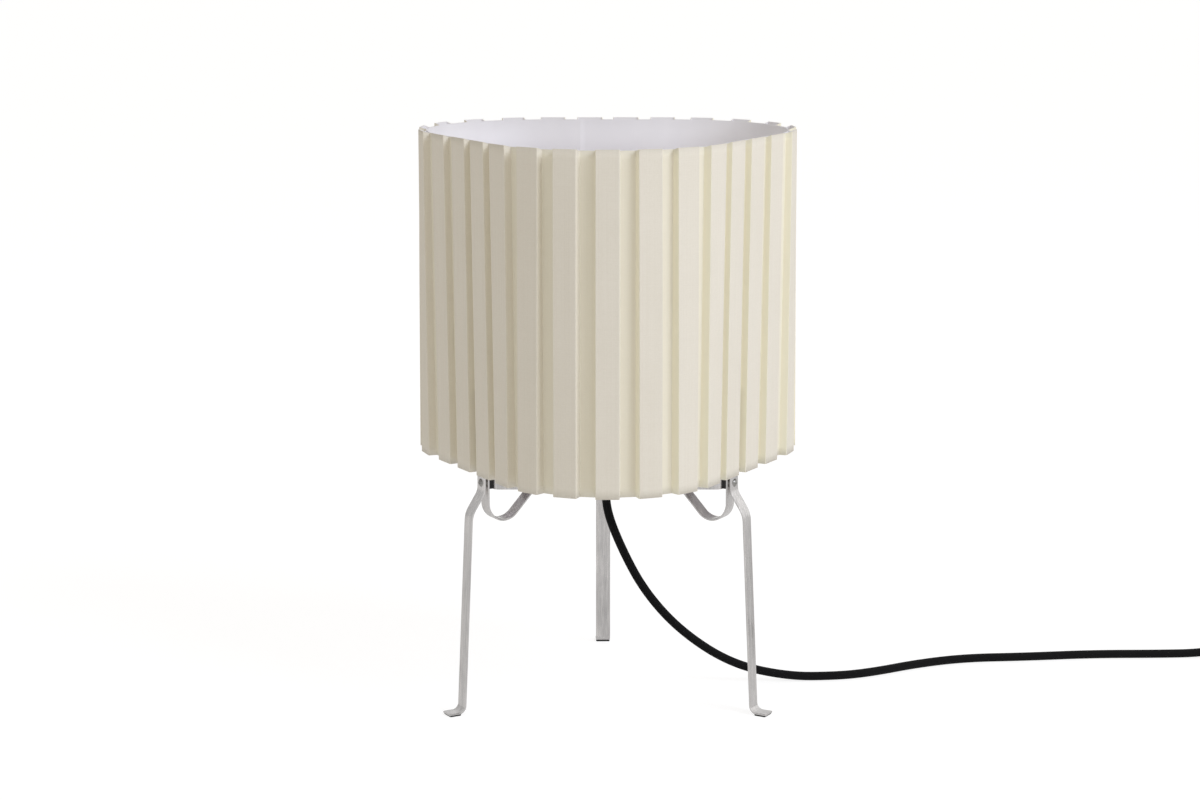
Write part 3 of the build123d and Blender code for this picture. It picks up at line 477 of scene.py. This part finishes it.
def opal():
    """Opal glass with a faint gloss over it."""
    m = Material("opal")
    tone = m.noise(m.coordinates("Object"), OPAL_CLOUD_CELLS, detail=2.0)
    m.colour(m.blend(m.ramp(tone, 0.0, 1.0, bottom=0.3, top=0.7), OPAL_DARK, OPAL_LIGHT))
    m.roughness(m.ramp(tone, 0.2, 0.28))
    m.set(Coat_Weight=0.3, Coat_Roughness=0.1)
    return m.material


MATERIALS = {slot: metal(*values) for slot, values in METALS.items()}
MATERIALS |= {slot: moulded(*values) for slot, values in MOULDED.items()}
MATERIALS |= {
    "shade_fabric": cotton(),
    "shade_lining": lining(),
    "bulb_opal": opal(),
    "cord_textile": braid(),
}


def dress(obj, slot):
    """Give a piece the material of a slot in the record."""
    obj.data.materials.clear()
    obj.data.materials.append(MATERIALS[slot])


def dress_nodes():
    """Give every node of the frame the material of its slot."""
    for entry in frame["record"]["subparts"]:
        node = frame["nodes"][entry["node"]]
        node.data.materials.clear()
        node.data.materials.append(MATERIALS[entry["material_slot"]])


def direction(azimuth):
    """The level unit vector at an azimuth in degrees."""
    return Vector((math.cos(math.radians(azimuth)), math.sin(math.radians(azimuth))))


def corner_centre(corner_r):
    """Distance from the axis to the centre of a corner's arc."""
    half = (PLAN_LENGTH - 2 * math.pi * corner_r) / (2 * SIDES)
    return half / math.sin(math.radians(CORNER_SWEEP / 2))


def plan_point(corner_r, run, out):
    """The point at a run along the plan from its front corner, moved outwards, and its normal."""
    third = PLAN_LENGTH / SIDES
    corner = round(run / third)
    along = run - corner * third
    azimuth = FRONT + corner * CORNER_SWEEP
    arc = corner_r * math.radians(CORNER_SWEEP / 2)
    turned = max(-arc, min(arc, along))
    normal = azimuth + math.degrees(turned / corner_r)
    centre = direction(azimuth) * corner_centre(corner_r)
    straight = direction(normal + 90) * (along - turned)
    return centre + direction(normal) * (corner_r + out) + straight, normal


def pleat_place(pleat):
    """Run of a pleat's middle: the pleats stand a little closer about the front corner."""
    turn = 2 * math.pi * pleat / (SIDES * PLEATS_PER_SIDE)
    waves = (size * math.sin((index + 1) * turn) for index, size in enumerate(PLEAT_DRIFT))
    return pleat * PLEAT_PITCH - sum(waves)


def pleat_corners(corner_r, depth, pleat, nudge, lift):
    """The four folds of one pleat, with its face moved sideways and outwards a little."""
    channel = GLUE_T + FABRIC_T
    run = pleat_place(pleat)
    deeper = DEPTH_SWELL * math.cos(2 * math.pi * pleat / (SIDES * PLEATS_PER_SIDE))
    middle, normal = plan_point(corner_r, run, depth + deeper + lift)
    across = direction(normal + 90)
    half = (PLEAT_FACE - FACE_SWELL * math.cos(2 * math.pi * pleat / PLEATS_PER_SIDE)) / 2
    return [
        plan_point(corner_r, run - half, channel)[0],
        middle + across * (nudge - half),
        middle + across * (nudge + half),
        plan_point(corner_r, run + half, channel)[0],
    ]


def rounded(corners, depths, painted_glows):
    """A closed outline with small arcs for corners: points with their depth, and their tone, the share of
    painted glow that the folds get for light passing through the cloth.
    """
    count = len(corners)
    outline = []
    for index, corner in enumerate(corners):
        back = (corners[index - 1] - corner).normalized()
        ahead = (corners[(index + 1) % count] - corner).normalized()
        start, end = corner + back * FOLD_R, corner + ahead * FOLD_R
        depth = depths[index % len(depths)]
        tone, next_painted_glow = painted_glows[(index - 1) % len(painted_glows)], painted_glows[index % len(painted_glows)]
        outline.append((start + back * FOLD_SUPPORT, depth, tone))
        for step in range(FOLD_STEPS + 1):
            t = step / FOLD_STEPS
            arc = start * (1 - t) ** 2 + corner * (2 * t * (1 - t)) + end * t**2
            outline.append((arc, depth, tone + (next_painted_glow - tone) * t))
        flat_start = end + ahead * FOLD_SUPPORT
        flat_end = corners[(index + 1) % count] - ahead * (FOLD_R + FOLD_SUPPORT)
        outline.append((flat_start, depth, next_painted_glow))
        parts = FOLD_PARTS[index % len(FOLD_PARTS)]
        following = depths[(index + 1) % len(depths)]
        for part in range(1, parts):
            t = part / parts
            part_depth = depth + (following - depth) * t
            outline.append((flat_start.lerp(flat_end, t), part_depth, next_painted_glow))
    return outline


def pleat_outline(level, wobble):
    """The sheet's outer line at a share of the height, with hand-folded unevenness."""
    corners = []
    for pleat in range(SIDES * PLEATS_PER_SIDE):
        nudge, lift = wobble(pleat, level)
        hem = pleat_corners(CORNER_R_HEM, DEPTH_HEM, pleat, nudge, lift)
        rim = pleat_corners(CORNER_R_RIM, DEPTH_RIM, pleat, nudge, lift)
        corners += [low.lerp(high, level) for low, high in zip(hem, rim)]
    return rounded(corners, FOLD_DEPTHS, FOLD_PAINTED_GLOW)


def folding_wobble():
    """Small smooth unevenness of each pleat: sideways and outwards, along its height."""
    draw = random.Random(WOBBLE_SEED)
    waves = [
        [tuple(draw.uniform(*span) for span in (WOBBLE_SHARE, WOBBLE_WAVES, WOBBLE_PHASE)) for _ in range(2)]
        for _ in range(SIDES * PLEATS_PER_SIDE)
    ]

    def wobble(pleat, level):
        return [
            size * share * math.sin(half_waves * math.pi * level + phase)
            for size, (share, half_waves, phase) in zip((NUDGE, LIFT), waves[pleat])
        ]

    return wobble


def grid_mesh(name, rows, us, vs, caps=False):
    """A mesh of quads over closed rows of points, with UVs us along a row and vs up the rows."""
    width = len(rows[0])
    faces, uvs = [], []
    for row in range(len(rows) - 1):
        for column in range(width):
            after = (column + 1) % width
            low, high = row * width, (row + 1) * width
            faces.append((low + column, low + after, high + after, high + column))
            left, right = us[column], us[column + 1]
            uvs += [(left, vs[row]), (right, vs[row]), (right, vs[row + 1]), (left, vs[row + 1])]
    if caps:
        last = (len(rows) - 1) * width
        faces.append(tuple(reversed(range(width))))
        faces.append(tuple(range(last, last + width)))
        uvs += [(us[0], vs[0])] * width + [(us[0], vs[-1])] * width
    mesh = bpy.data.meshes.new(name)
    mesh.from_pydata([tuple(point) for row in rows for point in row], [], faces)
    layer = mesh.uv_layers.new(name="UVMap")
    layer.data.foreach_set("uv", [value for uv in uvs for value in uv])
    smooth = [len(face) == 4 for face in faces]
    mesh.polygons.foreach_set("use_smooth", smooth)
    obj = bpy.data.objects.new(name, mesh)
    bpy.context.scene.collection.objects.link(obj)
    return obj


def cover():
    """The pleated sheet in one piece, with its thickness inwards."""
    wobble = folding_wobble()
    levels = [level / LEVELS for level in range(LEVELS + 1)]
    rows, depths, painted_glows = [], [], []
    for level in levels:
        outline = pleat_outline(level, wobble)
        row = []
        for place, depth, _ in outline:
            z = HEM_Z + (RIM_Z - RIM_STEP * depth - HEM_Z) * level
            row.append(Vector((place.x, place.y + AXIS_Y, z)))
        rows.append(row)
        depths += [depth for _, depth, _ in outline]
        painted_glows += [tone for _, _, tone in outline]
    middle = rows[LEVELS // 2]
    us = [0.0]
    for index, point in enumerate(middle):
        us.append(us[-1] + (middle[(index + 1) % len(middle)] - point).length)
    vs = [HEM_Z + (RIM_Z - HEM_Z) * level for level in levels]
    obj = grid_mesh("pleated_fabric", rows, us, vs)
    obj.data.attributes.new("fold", "FLOAT", "POINT").data.foreach_set("value", depths)
    # The tone attribute carries the folds' painted glow to the cloth's material
    obj.data.attributes.new("tone", "FLOAT", "POINT").data.foreach_set("value", painted_glows)
    thick = obj.modifiers.new("thickness", "SOLIDIFY")
    thick.thickness = FABRIC_T
    thick.offset = -1.0
    thick.use_even_offset = True
    obj.vertex_groups.new(name="inside")
    thick.shell_vertex_group = "inside"
    dress(obj, "shade_fabric")
    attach(obj, "shade")
    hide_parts("pleated_cover")


def lining_runs():
    """Evenly spaced places along the plan, and more of them at the lap's edge."""
    edge = PLAN_LENGTH / 2 - LAP_EDGE_X
    count = round(PLAN_LENGTH / LINING_STEP)
    runs = [PLAN_LENGTH * index / count for index in range(count)]
    runs += [edge, edge + LAP_BEVEL]
    return sorted(runs), edge


def lap_depth(run, edge):
    """How far the lining stands inwards at a run: a bevelled edge, fading away from it."""
    past = run - edge
    if past <= 0.0:
        return 0.0
    rise = min(1.0, past / LAP_BEVEL)
    return LAP_T * rise * max(0.0, 1.0 - past / LAP_FADE)


def lining_sheet():
    """The smooth sheet inside the pleats, cut a little lower at the rim than they are."""
    runs, edge = lining_runs()
    top = RIM_Z - RIM_STEP
    rows, vs = [], []
    for index in range(LINING_LEVELS + 1):
        z = HEM_Z + (top - HEM_Z) * index / LINING_LEVELS
        level = (z - HEM_Z) / (RIM_Z - HEM_Z)
        row = []
        for run in runs:
            inwards = -LINER_T - lap_depth(run, edge)
            low = plan_point(CORNER_R_HEM, run, inwards)[0]
            high = plan_point(CORNER_R_RIM, run, inwards)[0]
            place = low.lerp(high, level)
            row.append(Vector((place.x, place.y + AXIS_Y, z)))
        rows.append(row)
        vs.append(z)
    obj = grid_mesh("lining_sheet", rows, runs + [PLAN_LENGTH], vs)
    thick = obj.modifiers.new("thickness", "SOLIDIFY")
    thick.thickness = LINER_T
    thick.offset = 1.0
    dress(obj, "shade_lining")
    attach(obj, "shade")
    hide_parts("shade_liner")


def smooth_line(points):
    """Evenly spaced points on the NURBS line of a route, and the line's length."""
    curve = bpy.data.curves.new("route", "CURVE")
    curve.dimensions = "3D"
    spline = curve.splines.new("NURBS")
    spline.points.add(len(points) - 1)
    for place, point in zip(spline.points, points):
        place.co = (*point, 1.0)
    spline.order_u = 3
    spline.use_endpoint_u = True
    spline.resolution_u = CORD_SPLINE_STEPS
    holder = bpy.data.objects.new("route", curve)
    mesh = bpy.data.meshes.new_from_object(holder)
    line = [vertex.co.copy() for vertex in mesh.vertices]
    bpy.data.objects.remove(holder)
    bpy.data.curves.remove(curve)
    bpy.data.meshes.remove(mesh)
    runs = [0.0]
    for before, after in zip(line, line[1:]):
        runs.append(runs[-1] + (after - before).length)
    count = round(runs[-1] / CORD_STEP)
    even, index = [], 0
    for step in range(count + 1):
        run = runs[-1] * step / count
        while index < len(runs) - 2 and runs[index + 1] < run:
            index += 1
        span = runs[index + 1] - runs[index]
        even.append(line[index].lerp(line[index + 1], (run - runs[index]) / span))
    return even, runs[-1]


def cord_mesh(name, points):
    """A round cord along a route's smooth line, with UVs along it in metres and round it."""
    line, length = smooth_line(points)
    ways = [(after - before).normalized() for before, after in zip(line, line[1:])]
    ways.append(ways[-1])
    side = ways[0].orthogonal().normalized()
    rows = []
    for point, way in zip(line, ways):
        side = (side - way * side.dot(way)).normalized()
        other = way.cross(side)
        ring = []
        for index in range(CORD_SIDES):
            angle = 2 * math.pi * index / CORD_SIDES
            ring.append(point + (side * math.cos(angle) + other * math.sin(angle)) * (CORD_D / 2))
        rows.append(ring)
    turns = [index / CORD_SIDES for index in range(CORD_SIDES + 1)]
    runs = [length * index / (len(line) - 1) for index in range(len(line))]
    obj = grid_mesh(name, rows, turns, runs, caps=True)
    dress(obj, "cord_textile")
    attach(obj, "stand")
    return obj, line


def in_row(x, y, z):
    """A point about the lamp's axis, in millimetres, as a place in the frame."""
    return (x * MM, y * MM + AXIS_Y, z * MM)


def run_cord():
    """The cord from its grip to the switch."""
    points = [in_row(*point) for point in CORD_ROUTE]
    obj, line = cord_mesh("flex_run", points)
    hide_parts("cord_run")


def coil_points(centre_x, centre_y):
    """The coil's turns: in along the floor, a climb in half a turn, and out above."""
    # A quadratic spline passes its control points' circle on the inside, by this share
    inset = 0.75 + 0.25 * math.cos(2 * math.pi / COIL_POINTS_PER_TURN)
    total = 2 * COIL_TURNS_PER_LAYER + COIL_CLIMB_TURNS
    back = total / 2
    points = []
    for step in range(round(total * COIL_POINTS_PER_TURN) + 1):
        turns = step / COIL_POINTS_PER_TURN
        radius = (COIL_OUTER_R - COIL_PITCH * (back - abs(turns - back))) / inset
        climb = min(1.0, max(0.0, (turns - COIL_TURNS_PER_LAYER) / COIL_CLIMB_TURNS))
        height = CORD_D / 2 + COIL_LAYER_H * climb**2 * (3 - 2 * climb)
        angle = math.radians(FRONT) + 2 * math.pi * turns
        points.append(
            (centre_x + radius * math.cos(angle), centre_y + radius * math.sin(angle), height)
        )
    return points


def stored_cord():
    """The rest of the cord: down from the switch, round the coil, and up to the plug."""
    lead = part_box("cord_lead")
    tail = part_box("cord_tail")
    lead_y = (lead[0].y + lead[1].y) / 2
    tail_y = (tail[0].y + tail[1].y) / 2
    lead_top = lead[1].z - CORD_D / 2
    lead_low = lead[0].z + CORD_D / 2
    tail_top = tail[1].z - CORD_D / 2
    tail_low = tail[0].z + CORD_D / 2
    lead_l = lead[1].x - lead[0].x
    tail_l = tail[1].x - tail[0].x
    coil_x = lead[1].x + CORD_D
    coil_y = lead_y + COIL_OUTER_R
    start = [
        (lead[0].x, lead_y, lead_top),
        (lead[0].x + lead_l * DROP_FROM, lead_y, lead_top),
        (lead[0].x + lead_l * DROP_TO, lead_y, lead_low),
        (lead[1].x, lead_y, lead_low),
    ]
    end = [
        (tail[1].x, tail_y, tail_top),
        (tail[1].x - tail_l * DROP_FROM, tail_y, tail_top),
        (tail[1].x - tail_l * DROP_TO, tail_y, tail_low),
        (tail[0].x, tail_y, tail_low),
    ]
    obj, line = cord_mesh("flex_stored", start + coil_points(coil_x, coil_y) + end)
    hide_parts("cord_lead", "cord_coil", "cord_tail")


def spun_mesh(name, profile, places, sides):
    """A closed form of revolution: profile pairs of run and radius, set in place by a function."""
    rows = []
    for run, radius in profile:
        ring = []
        for index in range(sides):
            angle = 2 * math.pi * index / sides
            ring.append(places(run, radius * math.cos(angle), radius * math.sin(angle)))
        rows.append(ring)
    us = [index / sides for index in range(sides + 1)]
    return grid_mesh(name, rows, us, [run for run, _ in profile], caps=True)


def rib_profile(length, root_r, tip_r):
    """A tapered sleeve's line, with a round groove between each rib and the next."""
    ribs = round(length / BOOT_RIB)
    steps = ribs * BOOT_STEPS_PER_RIB
    profile = []
    for step in range(steps + 1):
        t = step / steps
        groove = BOOT_GROOVE * (0.5 - 0.5 * math.cos(2 * math.pi * t * ribs)) ** 2
        profile.append((length * t, root_r + (tip_r - root_r) * t - groove))
    return profile


def boot(name, node, root_x, length, sign):
    """A ribbed sleeve round the cord, from its root, along X one way or the other."""
    low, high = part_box(node)
    y, z = (low.y + high.y) / 2, (low.z + high.z) / 2

    def place(run, across, up):
        return Vector((root_x + sign * run, y + across, z + sign * up))

    profile = rib_profile(length, (high.z - low.z) / 2, (high.z - low.z) / 2 - BOOT_TAPER)
    return spun_mesh(name, profile, place, BOOT_SIDES)


def boots():
    """The ribbed sleeves at the switch's two ends and behind the plug."""
    low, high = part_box("switch_reliefs")
    case_low, case_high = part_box("switch_lower")
    for name, root, end in (
        ("switch_boot_left", case_low.x, low.x),
        ("switch_boot_right", case_high.x, high.x),
    ):
        piece = boot(name, "switch_reliefs", root, abs(end - root), math.copysign(1, end - root))
        dress(piece, "black_plastic")
        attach(piece, "stand")
        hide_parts("switch_reliefs")
    low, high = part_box("plug_relief")
    piece = boot("plug_boot", "plug_relief", low.x, high.x - low.x, 1)
    dress(piece, "black_plastic")
    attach(piece, "stand")
    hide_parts("plug_relief")


def bulb_thread():
    """The bulb's cap with its rolled thread, between a bevelled foot and a flared collar."""
    low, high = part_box("bulb_cap")
    radius = (high.x - low.x) / 2 - COLLAR_OUT
    height = high.z - low.z
    count = round(height / THREAD_PITCH * THREAD_STEPS_PER_PITCH)
    rows, vs = [], []
    for step in range(count + 1):
        up = height * step / count
        base = radius - max(0.0, CAP_BEVEL - up)
        base += COLLAR_OUT * max(0.0, 1 - (height - up) / COLLAR_H)
        inwards = min(up - CAP_BEVEL, height - COLLAR_H - up) / THREAD_RUN_OUT
        depth = THREAD_DEPTH * min(1.0, max(0.0, inwards))
        ring = []
        for index in range(THREAD_SIDES):
            turn = index / THREAD_SIDES
            wave = 0.5 - 0.5 * math.cos(2 * math.pi * (up / THREAD_PITCH - turn))
            angle = 2 * math.pi * turn
            r = base - depth * wave
            ring.append(Vector((r * math.cos(angle), AXIS_Y + r * math.sin(angle), low.z + up)))
        rows.append(ring)
        vs.append(up)
    us = [index / THREAD_SIDES for index in range(THREAD_SIDES + 1)]
    obj = grid_mesh("bulb_thread", rows, us, vs, caps=True)
    dress(obj, "bulb_metal")
    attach(obj, "bulb")
    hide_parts("bulb_cap")


def sole_row(middle, out, inset, z):
    """A level rounded outline of a sole, drawn in by the inset."""
    across = Vector((-out.y, out.x, 0.0))
    centre_ahead = (PAD_LENGTH - SOLE_LENGTH) / 2
    half_l = SOLE_LENGTH / 2 - SOLE_R
    half_w = SOLE_W / 2 - SOLE_R
    row = []
    for ahead, aside, turn in ((1, 1, 0.0), (-1, 1, 90.0), (-1, -1, 180.0), (1, -1, 270.0)):
        for step in range(SOLE_STEPS + 1):
            angle = math.radians(turn + 90.0 * step / SOLE_STEPS)
            forward = centre_ahead + ahead * half_l + (SOLE_R - inset) * math.cos(angle)
            sideways = aside * half_w + (SOLE_R - inset) * math.sin(angle)
            row.append(middle + out * forward + across * sideways + Vector((0.0, 0.0, z)))
    return row


def soles():
    """A thin rubber sole with eased edges under each foot."""
    levels = ((0.0, SOLE_EDGE), (SOLE_EDGE, 0.0), (SOLE_T, 0.0))
    for mount in frame["record"]["mounts"]:
        if not mount["name"].startswith("foot_"):
            continue
        middle = Vector(mount["pos_m"])
        out = (middle - Vector((0.0, AXIS_Y, middle.z))).normalized()
        rows = [sole_row(middle, out, inset, z) for z, inset in levels]
        us = [index * MM for index in range(len(rows[0]) + 1)]
        piece = grid_mesh("sole_" + mount["name"], rows, us, [z for z, _ in levels], caps=True)
        dress(piece, "foot_rubber")
        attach(piece, "stand")
        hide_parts("foot_pads")


def seen_by(tree, *rays):
    """A factor of 1 for the named kinds of ray and 0 for the rest."""
    path = tree.nodes.new("ShaderNodeLightPath")
    total = path.outputs[rays[0]]
    for ray in rays[1:]:
        both = tree.nodes.new("ShaderNodeMath")
        both.operation = "ADD"
        both.use_clamp = True
        tree.links.new(total, both.inputs[0])
        tree.links.new(path.outputs[ray], both.inputs[1])
        total = both.outputs[0]
    return total


def mix_shaders(tree, factor, first, second):
    """The first shader where the factor is 0, the second where it is 1."""
    mix = tree.nodes.new("ShaderNodeMixShader")
    tree.links.new(factor, mix.inputs[0])
    tree.links.new(first, mix.inputs[1])
    tree.links.new(second, mix.inputs[2])
    return mix.outputs[0]


def floor_glow(tree):
    """The floor's whiteness: full to the camera, and dimmer in what is glossy."""
    shown = tree.nodes.new("ShaderNodeMath")
    shown.operation = "MULTIPLY"
    shown.inputs[1].default_value = FLOOR_DIM
    glow = tree.nodes.new("ShaderNodeMath")
    glow.operation = "SUBTRACT"
    glow.inputs[0].default_value = FLOOR_GLOW
    tree.links.new(seen_by(tree, "Is Glossy Ray"), shown.inputs[0])
    tree.links.new(shown.outputs[0], glow.inputs[1])
    return glow.outputs[0]


def stage():
    """A pale floor that keeps the object's shadow."""
    bpy.ops.mesh.primitive_plane_add(size=FLOOR_SIZE)
    floor = bpy.context.active_object
    floor.name = "floor"
    material = bpy.data.materials.new("floor")
    material.use_nodes = True
    tree = material.node_tree
    shader = tree.nodes["Principled BSDF"]
    shader.inputs["Base Color"].default_value = linear(*FLOOR_COLOUR)
    shader.inputs["Roughness"].default_value = FLOOR_ROUGHNESS
    white = tree.nodes.new("ShaderNodeEmission")
    tree.links.new(floor_glow(tree), white.inputs["Strength"])
    share = tree.nodes.new("ShaderNodeMath")
    share.operation = "MULTIPLY"
    share.inputs[1].default_value = FLOOR_SHARE
    tree.links.new(
        seen_by(tree, "Is Camera Ray", "Is Glossy Ray", "Is Transmission Ray"), share.inputs[0]
    )
    surface = mix_shaders(tree, share.outputs[0], shader.outputs[0], white.outputs[0])
    tree.links.new(surface, tree.nodes["Material Output"].inputs["Surface"])
    floor.data.materials.append(material)


def world():
    """Even light all round, white to the camera, and a graded white in what is glossy."""
    studio = bpy.data.worlds.new("studio")
    bpy.context.scene.world = studio
    studio.use_nodes = True
    tree = studio.node_tree
    even = tree.nodes["Background"]
    even.inputs["Color"].default_value = WORLD_COLOUR
    even.inputs["Strength"].default_value = WORLD_LIGHT
    white = tree.nodes.new("ShaderNodeBackground")
    white.inputs["Color"].default_value = (1.0, 1.0, 1.0, 1.0)
    graded = tree.nodes.new("ShaderNodeBackground")
    graded.inputs["Color"].default_value = (1.0, 1.0, 1.0, 1.0)
    place = tree.nodes.new("ShaderNodeTexCoord")
    parts = tree.nodes.new("ShaderNodeSeparateXYZ")
    ramp = tree.nodes.new("ShaderNodeMapRange")
    ramp.inputs["From Min"].default_value = -1.0
    ramp.inputs["To Min"].default_value = GLOSS_DARK
    ramp.inputs["To Max"].default_value = GLOSS_BRIGHT
    tree.links.new(place.outputs["Generated"], parts.inputs[0])
    tree.links.new(parts.outputs["X"], ramp.inputs["Value"])
    tree.links.new(ramp.outputs[0], graded.inputs["Strength"])
    glossy = seen_by(tree, "Is Glossy Ray", "Is Transmission Ray")
    around = mix_shaders(tree, glossy, even.outputs[0], graded.outputs[0])
    surface = mix_shaders(tree, seen_by(tree, "Is Camera Ray"), around, white.outputs[0])
    tree.links.new(surface, tree.nodes["World Output"].inputs["Surface"])


def key_light():
    """A soft square lamp, high in front on the right."""
    middle = Vector((0.0, AXIS_Y, LAMP_MIDDLE))
    raised = math.radians(KEY_ELEVATION)
    level = direction(KEY_AZIMUTH) * math.cos(raised)
    way = Vector((level.x, level.y, math.sin(raised)))
    data = bpy.data.lights.new("key", "AREA")
    data.shape = "SQUARE"
    data.size = KEY_SIZE
    data.energy = KEY_LIGHT * (math.pi * KEY_DISTANCE) ** 2
    data.color = KEY_COLOUR
    lamp = bpy.data.objects.new("key", data)
    bpy.context.scene.collection.objects.link(lamp)
    lamp.location = middle + way * KEY_DISTANCE
    lamp.rotation_mode = "QUATERNION"
    lamp.rotation_quaternion = way.to_track_quat("Z", "Y")


def camera():
    """The photograph's view, slightly from above."""
    data = bpy.data.cameras.new("camera")
    data.sensor_width = CAMERA_SENSOR
    data.lens = CAMERA_LENS
    data.shift_x, data.shift_y = CAMERA_SHIFT
    obj = bpy.data.objects.new("camera", data)
    bpy.context.scene.collection.objects.link(obj)
    obj.location = (CAMERA_AT[0], CAMERA_AT[1] + AXIS_Y, CAMERA_AT[2])
    obj.rotation_euler = (math.radians(90.0 - CAMERA_PITCH), 0.0, 0.0)
    bpy.context.scene.camera = obj


dress_nodes()
cover()
lining_sheet()
boots()
run_cord()
stored_cord()
bulb_thread()
soles()
stage()
world()
key_light()
camera()
bpy.context.scene.view_settings.view_transform = "Standard"
